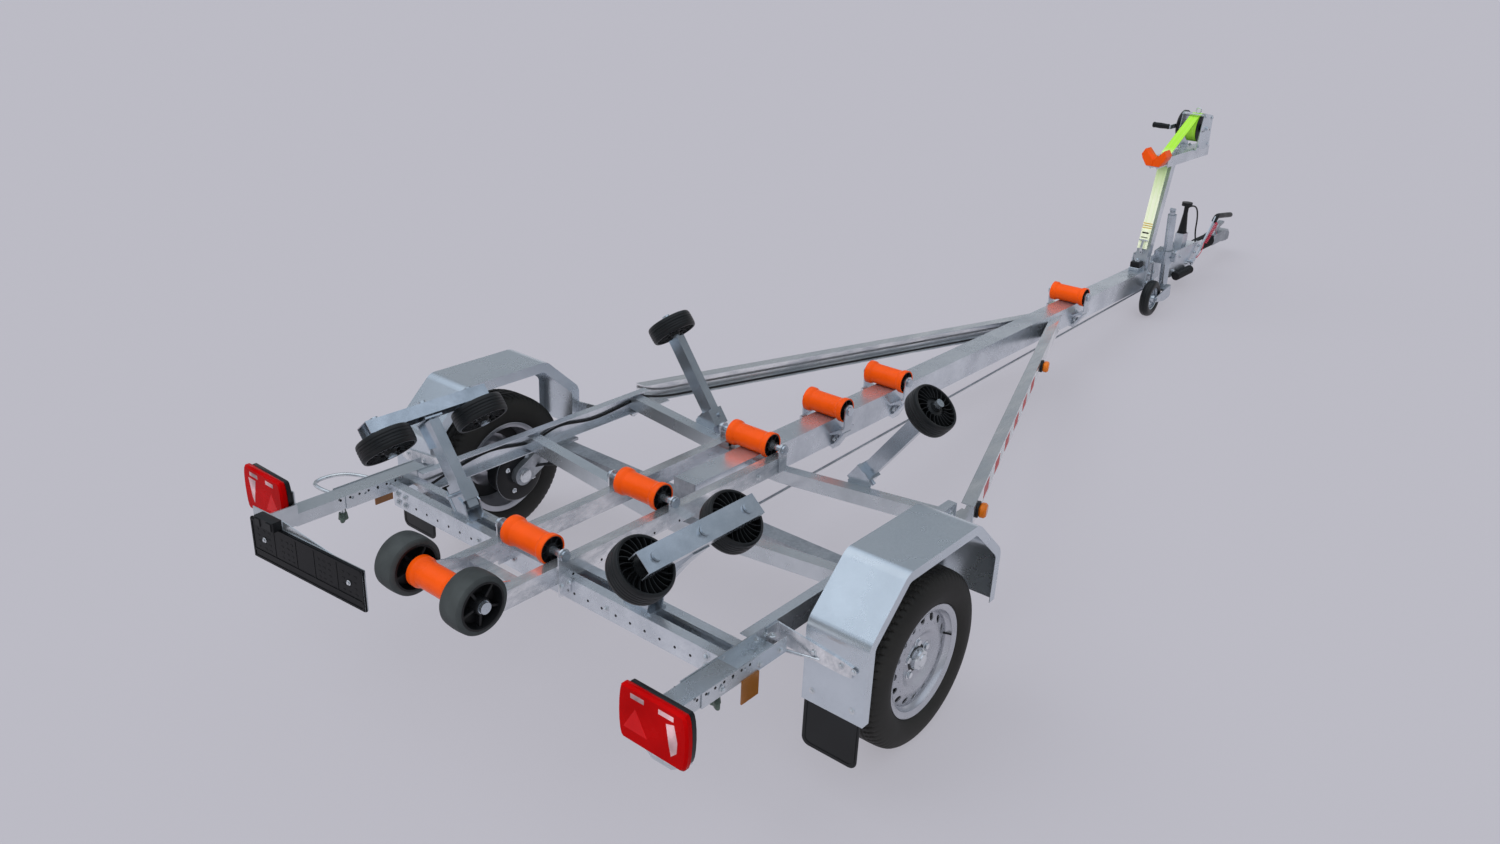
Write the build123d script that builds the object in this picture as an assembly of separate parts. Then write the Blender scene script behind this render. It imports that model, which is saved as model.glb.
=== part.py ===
from build123d import *
import math
import os

# Braked single-axle boat trailer with a keel-roller ladder, bilge wheels, winch post and jockey wheel.
#
# Everything is first drawn level, in millimetres: X forward from the axle, Y left, Z up from the
# ground under the tyres. At the end the whole trailer is pitched nose-down until the jockey wheel
# stands on the same ground as the tyres, and its origin is moved to the middle of its footprint.
# Left-hand pieces are drawn and mirrored to the right.

# ---------------------------------------------------------------- driving dimensions
# running gear
TYRE_R = 294.5
TYRE_W = 178.0
RIM_R = 171.0
RIM_LIP_R = 188.0
RIM_W = 150.0
RIM_T = 5.0
WHEEL_Y = 981.0
HUB_R = 46.0
SPINDLE_R = 17.0
SPINDLE_PAST = 14.0
BACKPLATE_R = 115.0
BACKPLATE_T = 6.0
RIM_WELL = 14.0
RIM_WELL_REAR = -14.0
RIM_WELL_FRONT = 26.0
RIM_SEAT_FROM = 40.0
WINDOWS = 16
WINDOW_R = 8.0
WINDOW_AT = 134.0
DRUM_HALF = 100.0
# faces of the wheel disc between the well and the hub: y, radius
DISC_FRONT = [(34, 118), (38, 100), (24, 78)]
DISC_REAR = [(18, 80), (31, 101), (28, 114)]
# tyre from the bead out to the tread: distance in from the side, radius
TYRE_WALL = [(8, 200), (0, 228), (2, 252), (14, 280), (32, TYRE_R)]
AXLE_X = 150.0
AXLE_SIZE = 70.0
AXLE_HALF = 800.0
ARM_T = 30.0
ARM_R = 42.0
AXLE_PAD = 10.0
AXLE_PAD_L = 120.0
AXLE_PAD_LAP = 20.0

# chassis
KEEL_W = 100.0
KEEL_H = 110.0
KEEL_T = 4.0
KEEL_TOP = 526.0
KEEL_REAR = 60.0
KEEL_FRONT = 4450.0
RAIL_OUT = 768.0
RAIL_W = 35.0
RAIL_H = 80.0
RAIL_TOP = 500.0
RAIL_FRONT = 640.0
SHEET = 3.0
REAR_BEAM_X = -563.0
REAR_BEAM_W = 104.0
REAR_BEAM_H = 75.0
REAR_BEAM_TOP = 478.0
SLOT_W = 34.0
SLOT_LIP = 12.0
CROSS_X = {"mid": 5.0, "front": 575.0}
CROSS_W = 50.0
CROSS_H = 55.0
CROSS_RISE = 0.10
STRUT_W = 50.0
STRUT_REAR_X = 655.0
STRUT_REAR_Y = 829.0
STRUT_SLOPE = 0.338
CORNER_PLATE_T = 6.0
CORNER_PLATE_BACK = 110.0
CORNER_PLATE_AHEAD = 105.0
CORNER_PLATE_LAP = 5.0

# mudguards: outer surface in side view, from the rear foot to the front foot
GUARD_SIDE = [(-381, 278), (-381, 539), (-208, 706), (192, 706), (362, 553), (362, 367)]
GUARD_BEND = 55.0
GUARD_T = 2.0
GUARD_INNER_Y = 870.0
GUARD_OUTER_Y = 1085.0
GUARD_LIP_IN = 40.0
GUARD_LIP_OUT = 32.0
FLAP_W = 196.0
FLAP_T = 4.0
FLAP_BOTTOM = 121.0
FLAP_TOP = 330.0
STAY_T = 6.0
STAY_TAB = 58.0
STAY_Z0 = 430.0
STAY_Z1 = 496.0
# outer end of a stay: distance in from its tip, z
STAY_TIP = [(40, 470), (0, 462), (0, 428), (30, 424)]
STAY_TIP_IN = 45.0
BRACE_R = 5.0
BRACE_BACK = 50.0
BRACE_Z = 437.0

# keel rollers
ROLLER_L = 188.0
ROLLER_END_R = 50.0
ROLLER_WAIST_R = 28.0
ROLLER_RIM = 7.0
ROLLER_CROWN = 8.0
ROLLER_HUB_R = 22.0
ROLLER_RECESS = 14.0
ROLLER_Z = 570.0
PIN_R = 12.0
PIN_GAP = 0.3
STIRRUP_X = [3136.0, 1355.0, 914.0]
LADDER_ROLLER_X = [436.0, -152.0, -640.0]
LADDER_IN = 100.0
LADDER_W = 40.0
LADDER_TOP = 540.0
LADDER_REAR = -870.0
LADDER_FRONT = 455.0
EAR_T = 6.0
EAR_R = 22.0
STIRRUP_EAR_R = 26.0
HOOK_BOTTOM = 432.0
WING_HALF = 42.0
LEG_HALF = 24.0
STRAP_HALF = 14.0
# stirrup in front view: z of the wing, of the leg and of the strap under the beam
WING_Z = dict(inner=(462.0, 470.0), outer=(486.0, 500.0))
LEG_Z = dict(inner=(398.0, 408.0), outer=(480.0, 487.0))
PIN_HEAD = 8.0
PIN_HEAD_R = PIN_R + 6.0
SHOE_L = 60.0
SHOE_TOP = 508.0
TIE_FROM = 60.0
TIE_L = 40.0
TIE_DROP = 12.0
END_ARM_LAP = 70.0
END_X = -985.0
END_WHEEL_R = 92.5
END_WHEEL_W = 85.0
END_WHEEL_IN = 110.0
END_WHEEL_TYRE_R = 68.0
END_WHEEL_HUB_R = 24.0
END_WHEEL_DISH = 16.0
END_WHEEL_BACK = 22.0

# bilge wheels
BILGE_R = 95.5
BILGE_W = 66.0
BILGE_PIN_R = 10.0
BILGE_DISH = 10.0
BILGE_CANT = 48.75
POST_LEAN = 36.75
POST_W = 40.0
POST_D = 56.0
SLEEVE_T = 8.0
BRACKET_SEAT = 30.0
BRACKET_T = 6.0
BRACKET_HALF = 34.0
BRACKET_L = 88.0
BRACKET_DROP = 18.0
BRACKET_TOP = 30.0
BRACKET_LAP = 10.0
# the wheel bosses stand this far out of the wheel's sides, and the bolt heads beyond them
BOSS = 3.0
BOSS_R = 22.0
BOLT_HEAD = 8.0
BOLT_R = BILGE_PIN_R + 6.0
COLLAR_R = 17.0
COLLAR_L = 42.0
REAR_SLEEVE = (58.0, 128.0)
FRONT_SLEEVE = (22.0, 92.0)
SCREW_R = 7.0
SCREW_L = 36.0
SCREW_AT = 93.0
TURN_BAR = (40.0, 112.0)
CROSS_BOLT_AT = 60.0
# clamp plates in front view: distance out from the post's foot, z
REAR_CHEEK = [(-8, 482), (66, 482), (74, 520), (42, 546), (8, 530)]
FRONT_PLATE = [(-26, 396), (80, 406), (92, 466), (60, 506), (4, 490)]
CLAMP_FOOT = (-30.0, 80.0)
ROCKER_HALF = 238.0
ROCKER_WHEEL_X = 188.0
ROCKER_W = 68.0
ROCKER_IN = 42.0
ROCKER_OUT = 86.0
ROCKER_BOSS_R = 19.0

# lighting gear
ARM_U_W = 80.0
ARM_U_H = 50.0
ARM_U_Z = 455.0
ARM_U_FRONT = -440.0
ARM_U_REAR = -800.0
EXTENSION_REAR = -984.0
LEFT_TUBE_FRONT = -470.0
RIGHT_TUBE_FRONT = -650.0
ARM_HOLE_R = 5.0
ARM_HOLE_PITCH = 50.0
ARM_HOLE_DROP = 14.0
ARM_HOLES = 4
ARM_REFLECTOR = dict(x=-603.0, top=458.0, w=72.0, h=76.0, t=5.0)
SLEEVE_GAP = 1.0
LAMP_PLATE_T = 4.0
LAMP_CUT = (32.0, 34.0)
LAMP_CORNER = 8.0
# lamp's back plate: distance out from the lamp's middle, height over it
LAMP_PLATE = [(-90, -94), (-20, -108), (30, -133), (70, -108), (96, -84), (96, 40)]
LAMP_PLATE_INNER = (-60.0, 40.0)
HANGER_Z = (470.0, 545.0)
HANGER_T = 5.0
HANGER_GAP = 3.0
BOARD_LIFT = 2.0
# sheet behind the number plate, in front view: distance in from the board's hung end, height over its middle
BOARD_SHEET = [(40, -49), (1, -49), (1, 103), (120, 103), (420, 63), (420, 43)]
PLATE_LAMP = dict(at=150.0, w=90.0, h=32.0, d=22.0)
LAMP = dict(x=-1007.0, y=884.0, z=547.0, w=234.0, h=160.0, d=42.0)
PLATE = dict(x=-1112.0, y=492.0, z=490.0, w=540.0, h=138.0, t=12.0, yaw=4.7)

# side markers on the struts' outer faces
MARKER_X = [720.0, 2260.0]
MARKER_SIZE = (60.0, 28.0, 44.0)

# winch post and winch
WINCH_POST_W = 72.0
WINCH_POST_D = 60.0
WINCH_POST_X = 4085.0
WINCH_POST_LEAN = 0.25
CHEEK_T = 6.0
WINCH_POST_T = 4.0
# foot cheek in side view
CHEEK_SIDE = [(4078, 424), (4232, 424), (4206, 610), (4118, 610)]
SPACER = dict(x0=4118.0, x1=4180.0, top=600.0)
LUG = dict(z0=622.0, z1=648.0, half=6.0, reach=34.0)
STRAP_TURN = (4212.0, 1204.0)
STRAP_FOOT_Z = 652.0
STRAP_FOOT_OUT = 28.0
# winch side plate: feet behind and ahead of the drum, and the two top corners from the drum's axis
FRAME_REAR = 118.0
FRAME_FRONT = 98.0
FRAME_TOP = [(80, 72), (-70, 95)]
COVER_R = 92.0
COVER_BORE = 40.0
COVER_L = 26.0
CRANK_T = 6.0
CRANK_HALF = 14.0
GRIP_R = 14.0
GRIP_PIN_R = 7.0
WINCH_ARM_TOP = 1190.0
WINCH_ARM_H = 60.0
WINCH_ARM_REAR = 4156.0
WINCH_ARM_FRONT = 4819.0
STOP_REAR = 4018.0
STOP_L = 88.0
STOP_W = 74.0
STOP_FOOT = 38.0
STOP_RISE = 18.0
STOP_NOTCH = 38.0
STOP_SEAT_IN = 17.0
# horn of the V block: distance in from its side, height over its foot
STOP_HORN = [(0, 62), (18, 94)]
DRUM_X = 4625.0
DRUM_Z = 1312.0
DRUM_R = 84.0
STRAP_W = 58.0
STRAP_T = 3.0
WINCH_PLATE_Y = 62.0
WINCH_PLATE_T = 4.0
CRANK_ARM = 135.0
GRIP_L = 95.0

# jockey wheel: JOCKEY_FOOT is where the tube's axis passes the swivel, which the wheel trails
JOCKEY_FOOT = (4234.0, 393.0)
JOCKEY_Y = -115.0
JOCKEY_LEAN = 7.6
JOCKEY_TRAIL = 184.0
JOCKEY_DROP = 15.0
JOCKEY_R = 108.0
JOCKEY_W = 56.0
JOCKEY_TUBE_R = 25.0
JOCKEY_INNER_R = 21.0
JOCKEY_STUD_R = 12.0
JOCKEY_TUBE_L = 430.0
JOCKEY_TUBE_FROM = 46.0
JOCKEY_STROKE = 180.0
CLAMP_Z = (175.0, 255.0)
CLAMP_PLATE = (-50.0, 42.0)
CLAMP_PLATE_Z0 = 60.0
CLAMP_WALL = 9.0
CLAMP_EAR_L = 30.0
FORK_TOP = 30.0
FORK_PLATE = 12.0
FORK_T = 4.0
FORK_GAP = 8.0
FORK_REAR = -62.0
# fork plate ahead of the wheel, in the tube's own frame: x, z
FORK_SIDE = [(30, FORK_TOP), (34, -32), (20, -44), (-60, -42)]
# half of the jockey wheel's profile: distance in from its side, radius
JOCKEY_SIDE = [(14, 24), (14, 60), (4, 64), (0, 84), (10, 103), (20, JOCKEY_R)]

# coupling
SHAFT_Z = 500.0
SHAFT_R = 25.0
HOUSING_REAR = 4380.0
HOUSING_FRONT = 5050.0
HEAD_REAR = 5290.0
BALL_X = 5545.0
BALL_R = 25.3
LEVER_Y = -78.0
BRAKE_ROD_TAIL = (AXLE_X, 292.0)
BRAKE_ROD_NOSE = (4440.0, 404.0)
BRAKE_ROD_Y = -30.0
BRAKE_ROD_R = 5.0
SPRING_R = 27.0
SPRING_X = (4523.0, 4770.0)
SPRING_Z = 412.0
HOUSING_T = 6.0
# side plate of the coupling housing
HOUSING_SIDE = [
    (HOUSING_REAR, 424), (4500, 404), (4790, 404), (4960, 452), (5000, 560), (4560, 566), (HOUSING_REAR, 515),
]
WEB_Z = (530.0, 542.0)
WEB_FRONT = 4980.0
BULKHEADS = [(4480.0, 430.0), (4940.0, 452.0)]
BULKHEAD_T = 10.0
OUTER_TUBE_R = 36.0
PLUG_POST = dict(x0=4700.0, x1=4780.0, half=26.0, top=640.0)
LEVER_PIVOT = (4800.0, 452.0)
LEVER_PIVOT_R = 9.0
LEVER_T = 8.0
LEVER_BOSS_R = 22.0
LEVER_SIDE = [(4784, 432), (4818, 434), (5072, 636), (5112, 690), (5092, 704), (5050, 658)]
LEVER_END = (5096.0, 680.0)
LEVER_WRIST = (5132.0, 698.0)
LEVER_TIP = (5391.0, 670.0)
# ball coupling and its handle, in side view
HEAD_SIDE = [(HEAD_REAR, 466), (HEAD_REAR, 534), (5440, 540), (5560, 536), (5600, 505), (5600, 462), (5490, 462), (5440, 470)]
HEAD_HALF = 35.0
CUP_R = 40.0
CUP_Z = (462.0, 520.0)
BALL_TOP = 500.0
HANDLE_SIDE = [(5330, 534), (5350, 560), (5400, 588), (5500, 598), (5500, 584), (5430, 570), (5400, 534)]
HANDLE_HALF = 18.0
HANGER_HALF = 12.0
# parked plug from its seat up: height, lower radius, upper radius
PLUG_X = 4740.0
PLUG_STACK = [(6, 30, 30), (126, 27, 13), (40, 14, 14), (22, 32, 32)]

parts = {}


# ---------------------------------------------------------------- small helpers
def block(x0, x1, y0, y1, z0, z1):
    """Box between two opposite corners."""
    return Pos((x0 + x1) / 2, (y0 + y1) / 2, (z0 + z1) / 2) * Box(abs(x1 - x0), abs(y1 - y0), abs(z1 - z0))


def rod(start, end, radius):
    """Round bar from one point to another."""
    a, b = Vector(*start), Vector(*end)
    plane = Plane(origin=a, z_dir=b - a)
    return extrude(plane * Circle(radius), amount=(b - a).length)


def side_plate(points, y0, y1, bend=0):
    """Plate whose outline is a list of (x, z), between y0 and y1."""
    points3 = [(x, y0, z) for x, z in points]
    wire = FilletPolyline(*points3, radius=bend, close=True) if bend else Polyline(*points3, close=True)
    return extrude(make_face(wire), amount=y1 - y0, dir=(0, 1, 0))


def cross_plate(points, x0, x1, bend=0):
    """Plate whose outline is a list of (y, z), between x0 and x1."""
    points3 = [(x0, y, z) for y, z in points]
    wire = FilletPolyline(*points3, radius=bend, close=True) if bend else Polyline(*points3, close=True)
    return extrude(make_face(wire), amount=x1 - x0, dir=(1, 0, 0))


def flat_plate(points, z0, z1):
    """Plate whose outline is a list of (x, y), between z0 and z1."""
    points3 = [(x, y, z0) for x, y in points]
    return extrude(make_face(Polyline(*points3, close=True)), amount=z1 - z0, dir=(0, 0, 1))


def turned(profile):
    """Solid of revolution about the Y axis from a list of (y, radius)."""
    points3 = [(r, y, 0) for y, r in profile]
    return revolve(make_face(Polyline(*points3, close=True)), axis=Axis.Y)


def both_sides(left):
    """A left-hand solid and its mirror image, as one set."""
    return [left, mirror(left, about=Plane.XZ)]


def add(name, *shapes):
    """File a node: one solid, or a set of like solids that do not touch."""
    flat = []
    for shape in shapes:
        flat.extend(shape if isinstance(shape, list) else [shape])
    solids = [s for shape in flat for s in shape.solids()]
    parts[name] = Compound(children=solids) if len(solids) > 1 else solids[0]


# ---------------------------------------------------------------- chassis
keel_half = KEEL_W / 2
keel_bottom = KEEL_TOP - KEEL_H
rail_bottom = RAIL_TOP - RAIL_H
beam_front = REAR_BEAM_X + REAR_BEAM_W / 2
beam_rear = REAR_BEAM_X - REAR_BEAM_W / 2
beam_bottom = REAR_BEAM_TOP - REAR_BEAM_H


def keel_beam():
    outer = block(KEEL_REAR, KEEL_FRONT, -keel_half, keel_half, keel_bottom, KEEL_TOP)
    inner = block(
        KEEL_REAR - 1, KEEL_FRONT + 1,
        -keel_half + KEEL_T, keel_half - KEEL_T,
        keel_bottom + KEEL_T, KEEL_TOP - KEEL_T,
    )
    return outer - inner


def side_rail():
    """Channel that opens towards the middle of the trailer."""
    outer = block(beam_front, RAIL_FRONT, RAIL_OUT - RAIL_W, RAIL_OUT, rail_bottom, RAIL_TOP)
    inner = block(
        beam_front - 1, RAIL_FRONT + 1,
        RAIL_OUT - RAIL_W - 1, RAIL_OUT - SHEET,
        rail_bottom + SHEET, RAIL_TOP - SHEET,
    )
    return outer - inner


def rear_beam():
    """Strut channel with a slot along its top, for the clamps' T-bolts."""
    half = REAR_BEAM_W / 2
    outer = block(beam_rear, beam_front, -RAIL_OUT, RAIL_OUT, beam_bottom, REAR_BEAM_TOP)
    inner = block(
        beam_rear + SHEET, beam_front - SHEET, -RAIL_OUT - 1, RAIL_OUT + 1,
        beam_bottom + SHEET, REAR_BEAM_TOP - SHEET,
    )
    slot = block(
        REAR_BEAM_X - SLOT_W / 2, REAR_BEAM_X + SLOT_W / 2, -RAIL_OUT - 1, RAIL_OUT + 1,
        REAR_BEAM_TOP - SHEET - 1, REAR_BEAM_TOP + 1,
    )
    beam = outer - inner - slot
    for side in (-1, 1):
        x = REAR_BEAM_X + side * SLOT_W / 2
        lip = block(x, x + side * SHEET, -RAIL_OUT, RAIL_OUT, REAR_BEAM_TOP - SLOT_LIP, REAR_BEAM_TOP)
        beam += lip
    return beam


def cross_top(y):
    """Height of a cross member's top at the distance y from the centre line."""
    return keel_bottom + CROSS_RISE * max(0.0, y - keel_half)


def cross_member(x):
    """Shallow V under the keel beam, whose ends stand inside the side rails."""
    end = RAIL_OUT - SHEET
    top = [(-end, cross_top(end)), (-keel_half, keel_bottom), (keel_half, keel_bottom), (end, cross_top(end))]
    under = [(y, z - CROSS_H) for y, z in reversed(top)]
    outer = cross_plate(top + under, x - CROSS_W / 2, x + CROSS_W / 2)
    top_in = [(y, z - SHEET) for y, z in top]
    under_in = [(y, z + SHEET) for y, z in under]
    inner = cross_plate(top_in + under_in, x - CROSS_W / 2 + SHEET, x + CROSS_W / 2 - SHEET)
    return outer - inner


strut_y = STRUT_W * math.sqrt(1 + STRUT_SLOPE ** 2)


def strut_x(y):
    """X at which the strut's outer edge reaches y."""
    return STRUT_REAR_X + (STRUT_REAR_Y - y) / STRUT_SLOPE


def draw_strut():
    """Channel from the front corner to the keel beam, with the plate that joins it to the side rail."""
    tip = strut_x(keel_half)
    heel = strut_x(keel_half + strut_y)
    wall = SHEET * math.sqrt(1 + STRUT_SLOPE ** 2)
    shift = wall / STRUT_SLOPE
    outline = [
        (STRUT_REAR_X, STRUT_REAR_Y), (tip, keel_half), (heel, keel_half), (STRUT_REAR_X, STRUT_REAR_Y - strut_y),
    ]
    hollow = [
        (STRUT_REAR_X - 1, STRUT_REAR_Y - wall), (tip - shift, keel_half),
        (heel - shift, keel_half), (STRUT_REAR_X - 1, STRUT_REAR_Y - strut_y - wall),
    ]
    strut = flat_plate(outline, rail_bottom, RAIL_TOP)
    strut -= flat_plate(hollow, rail_bottom + SHEET, RAIL_TOP - SHEET)
    plate = flat_plate(
        [
            (RAIL_FRONT - 110, RAIL_OUT - RAIL_W - 5), (RAIL_FRONT - 110, RAIL_OUT),
            (STRUT_REAR_X, STRUT_REAR_Y), (STRUT_REAR_X + 105, STRUT_REAR_Y - 105 * STRUT_SLOPE),
            (STRUT_REAR_X + 105, RAIL_OUT - RAIL_W - 5),
        ],
        rail_bottom - CORNER_PLATE_T, rail_bottom,
    )
    return strut + plate


add("keel_beam", keel_beam())
add("side_rails", both_sides(side_rail()))
add("rear_beam", rear_beam())
add("cross_members", [cross_member(x) for x in CROSS_X.values()])
add("draw_struts", both_sides(draw_strut()))

# ---------------------------------------------------------------- axle and road wheels
axle_top = rail_bottom - AXLE_PAD
axle_z = axle_top - AXLE_SIZE / 2
arm_in = AXLE_HALF
arm_out = AXLE_HALF + ARM_T
spindle_end = WHEEL_Y + SPINDLE_PAST


def axle():
    """Square torsion-axle tube with its pads, trailing arms, brake backplates and wheel spindles."""
    half = AXLE_SIZE / 2
    pad_half = AXLE_PAD_L / 2
    beam = block(AXLE_X - half, AXLE_X + half, -AXLE_HALF, AXLE_HALF, axle_top - AXLE_SIZE, axle_top)
    pad_in = RAIL_OUT - RAIL_W - AXLE_PAD_LAP
    pad = block(AXLE_X - pad_half, AXLE_X + pad_half, pad_in, RAIL_OUT, axle_top, rail_bottom)
    dx, dz = AXLE_X, axle_z - TYRE_R
    length = math.hypot(dx, dz)
    nx, nz = -dz / length * ARM_R, dx / length * ARM_R
    outline = [(nx, TYRE_R + nz), (dx + nx, axle_z + nz), (dx - nx, axle_z - nz), (-nx, TYRE_R - nz)]
    arm = side_plate(outline, arm_in, arm_out)
    arm += rod((0, arm_in, TYRE_R), (0, arm_out, TYRE_R), ARM_R)
    arm += rod((dx, arm_in, axle_z), (dx, arm_out, axle_z), ARM_R)
    back = rod((0, arm_out, TYRE_R), (0, arm_out + BACKPLATE_T, TYRE_R), BACKPLATE_R)
    spindle = rod((0, arm_out, TYRE_R), (0, spindle_end, TYRE_R), SPINDLE_R)
    side = pad + arm + back + spindle
    return beam + side + mirror(side, about=Plane.XZ)


def rim_barrel(well):
    """Rim with a lip at each edge and a well of the given radius."""
    half = RIM_W / 2
    seat = RIM_R - RIM_T
    front, rear = RIM_WELL_FRONT, RIM_WELL_REAR
    outside = [
        (-half, RIM_LIP_R), (-half + RIM_T, RIM_LIP_R), (-half + RIM_T, RIM_R), (2 * rear, RIM_R),
        (rear + 2, well + RIM_T - 1), (front - 2, well + RIM_T - 1), (RIM_SEAT_FROM, RIM_R),
        (half - RIM_T, RIM_R), (half - RIM_T, RIM_LIP_R), (half, RIM_LIP_R),
    ]
    inside = [(half, seat), (RIM_SEAT_FROM, seat), (front, well), (rear, well), (2 * rear - 2, seat), (-half, seat)]
    return turned(outside + inside)


def rim_disc(well):
    """Dished disc inside the well with a ring of round windows."""
    edge = 10.0
    bore = HUB_R - 6
    front_y, rear_y = DISC_FRONT[-1][0], DISC_REAR[0][0]
    disc = turned([
        (-edge, well + 1), (edge, well + 1), *DISC_FRONT, (front_y, bore),
        (rear_y, bore), *DISC_REAR, (6, well - 8), (-edge, well - 8),
    ])
    for i in range(WINDOWS):
        turn = Rot(0, i * 360 / WINDOWS, 0)
        disc -= Pos(0, DISC_FRONT[-1][0], 0) * turn * Pos(WINDOW_AT, 0, 0) * Rot(90, 0, 0) * Cylinder(WINDOW_R, 2 * HUB_R)
    return disc


def brake_hub():
    """Brake drum and hub on the spindle, with the grease cap."""
    bore = SPINDLE_R + PIN_GAP
    drum_in = arm_out + BACKPLATE_T + 6 - WHEEL_Y
    cap_in = spindle_end - WHEEL_Y + 6
    nose = DISC_FRONT[-1][0]
    return turned([
        (drum_in, bore), (drum_in, DRUM_HALF), (-RIM_W / 2, DRUM_HALF), (-RIM_W / 2, HUB_R + 12), (nose - 4, HUB_R),
        (nose, HUB_R), (HUB_R, HUB_R - 14), (HUB_R, 0), (cap_in, 0), (cap_in, bore),
    ])


def rim():
    """Steel wheel with its hub and brake drum, centred on the Y axis; +Y is the outer face."""
    well = RIM_R - RIM_WELL
    return rim_barrel(well) + rim_disc(well) + brake_hub()


def tyre():
    """Tyre as a ring seated between the rim's lips."""
    half = TYRE_W / 2
    bead = RIM_W / 2 - RIM_T - PIN_GAP
    outer = [(bead, RIM_R + PIN_GAP), (bead, RIM_LIP_R + 1)] + [(half - d, r) for d, r in TYRE_WALL]
    return turned(outer + [(-y, r) for y, r in reversed(outer)])


left_wheel = Pos(0, WHEEL_Y, TYRE_R)
add("axle", axle())
for side, flip in (("left", False), ("right", True)):
    for name, shape in (("rim", rim()), ("tyre", tyre())):
        placed = left_wheel * shape
        add(f"{name}_{side}", mirror(placed, about=Plane.XZ) if flip else placed)


# ---------------------------------------------------------------- mudguards
def inset(points, d):
    """The guard's side outline moved inwards by d; its two feet stay at their height."""
    (x0, z0), (x1, z1), (x2, z2), (x3, z3), (x4, z4), (x5, z5) = points
    half_bend = math.atan2(z2 - z1, x2 - x1) / 2
    k = math.tan(half_bend) * d
    return [
        (x0 + d, z0), (x1 + d, z1 - k), (x2 + k, z2 - d), (x3 - k, z3 - d), (x4 - d, z4 - k), (x5 - d, z5),
    ]


def side_profile(wire, width):
    """Solid of the given width from a closed outline in the side view."""
    return extrude(make_face(wire), amount=width, dir=(0, 1, 0))


def guard_band(d, y0, y1):
    """Band of depth d under the guard's outer surface, from y0 to y1."""
    outer = GUARD_SIDE
    inner = inset(GUARD_SIDE, d)
    low = outer[0][1] - GUARD_BEND
    outer_closed = [(outer[0][0], low), *outer[1:-1], (outer[-1][0], low)]
    inner_closed = [(inner[0][0], low - 10), *inner[1:-1], (inner[-1][0], low - 10)]
    big = side_profile(rounded(outer_closed, GUARD_BEND, y0), y1 - y0)
    small = side_profile(rounded(inner_closed, GUARD_BEND - min(d, GUARD_BEND / 2), y0), y1 - y0)
    band = big - small
    x_mid = (outer[0][0] + outer[-1][0]) / 2
    rear_cut = block(outer[0][0] - 5, x_mid, y0 - 1, y1 + 1, 0, outer[0][1])
    front_cut = block(x_mid, outer[-1][0] + 5, y0 - 1, y1 + 1, 0, outer[-1][1])
    return band - rear_cut - front_cut


def rounded(points, radius, y):
    """Closed outline in the side view whose upper corners are rounded."""
    n = len(points)
    wire = Polyline(*[(x, y, z) for x, z in points], close=True)
    face = make_face(wire)
    tops = sorted(face.vertices(), key=lambda v: v.Z)[-(n - 2):]
    return fillet_face(face, tops, radius)


def fillet_face(face, corners, radius):
    """Outline of a face with the given corners rounded."""
    local = face.face()
    return local.fillet_2d(radius, corners).outer_wire()


def mudguard():
    """Bent sheet over the wheel with a lip down each side."""
    sheet = guard_band(GUARD_T, GUARD_INNER_Y, GUARD_OUTER_Y)
    lip_in = guard_band(GUARD_LIP_IN, GUARD_INNER_Y, GUARD_INNER_Y + GUARD_T)
    lip_out = guard_band(GUARD_LIP_OUT, GUARD_OUTER_Y - GUARD_T, GUARD_OUTER_Y)
    return sheet + lip_in + lip_out


def guard_stays():
    """Flat stays from the side rail to the guard's rear and front sheets, with the rear rod brace."""
    rear_x = GUARD_SIDE[0][0]
    front_x = GUARD_SIDE[-1][0]
    tip = GUARD_OUTER_Y - STAY_TIP_IN
    outline = [(RAIL_OUT, STAY_Z0), (RAIL_OUT, STAY_Z1)] + [(tip - d, z) for d, z in STAY_TIP]
    stays = []
    for x, side in ((rear_x, -1), (front_x, 1)):
        stay = cross_plate(outline, x, x + side * STAY_T)
        stay += block(x, x + side * STAY_TAB, RAIL_OUT, RAIL_OUT + STAY_T, STAY_Z0, STAY_Z1)
        stays.append(stay)
    brace_start = (rear_x - BRACE_BACK, RAIL_OUT + STAY_T / 2, BRACE_Z)
    brace_end = (rear_x - STAY_T, GUARD_INNER_Y + STAY_TAB, BRACE_Z)
    stays[0] += rod(brace_start, brace_end, BRACE_R)
    return stays


def mudflap():
    """Rubber flap that hangs from the guard's rear sheet."""
    x = GUARD_SIDE[0][0] + GUARD_T
    y_mid = (GUARD_INNER_Y + GUARD_OUTER_Y) / 2
    half = FLAP_W / 2
    return block(x, x + FLAP_T, y_mid - half, y_mid + half, FLAP_BOTTOM, FLAP_TOP)


add("mudguards", both_sides(mudguard()))
left_stays = guard_stays()
add("mudguard_stays", *[both_sides(s) for s in left_stays])
add("mudflaps", both_sides(mudflap()))

# ---------------------------------------------------------------- keel rollers
roller_half = ROLLER_L / 2
ladder_out = LADDER_IN + LADDER_W
ladder_bottom = REAR_BEAM_TOP


def keel_roller():
    """Roller of two cones on the Y axis with recessed ends and a through bore."""
    bore = PIN_R + PIN_GAP
    recess = roller_half - ROLLER_RECESS
    lip = ROLLER_END_R - ROLLER_RIM
    end = [
        (roller_half, bore), (roller_half, ROLLER_HUB_R), (recess, ROLLER_HUB_R), (recess, lip),
        (roller_half, lip), (roller_half, ROLLER_END_R), (roller_half - ROLLER_CROWN, ROLLER_END_R),
    ]
    return turned(end + [(0, ROLLER_WAIST_R)] + [(-y, r) for y, r in reversed(end)])


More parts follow.
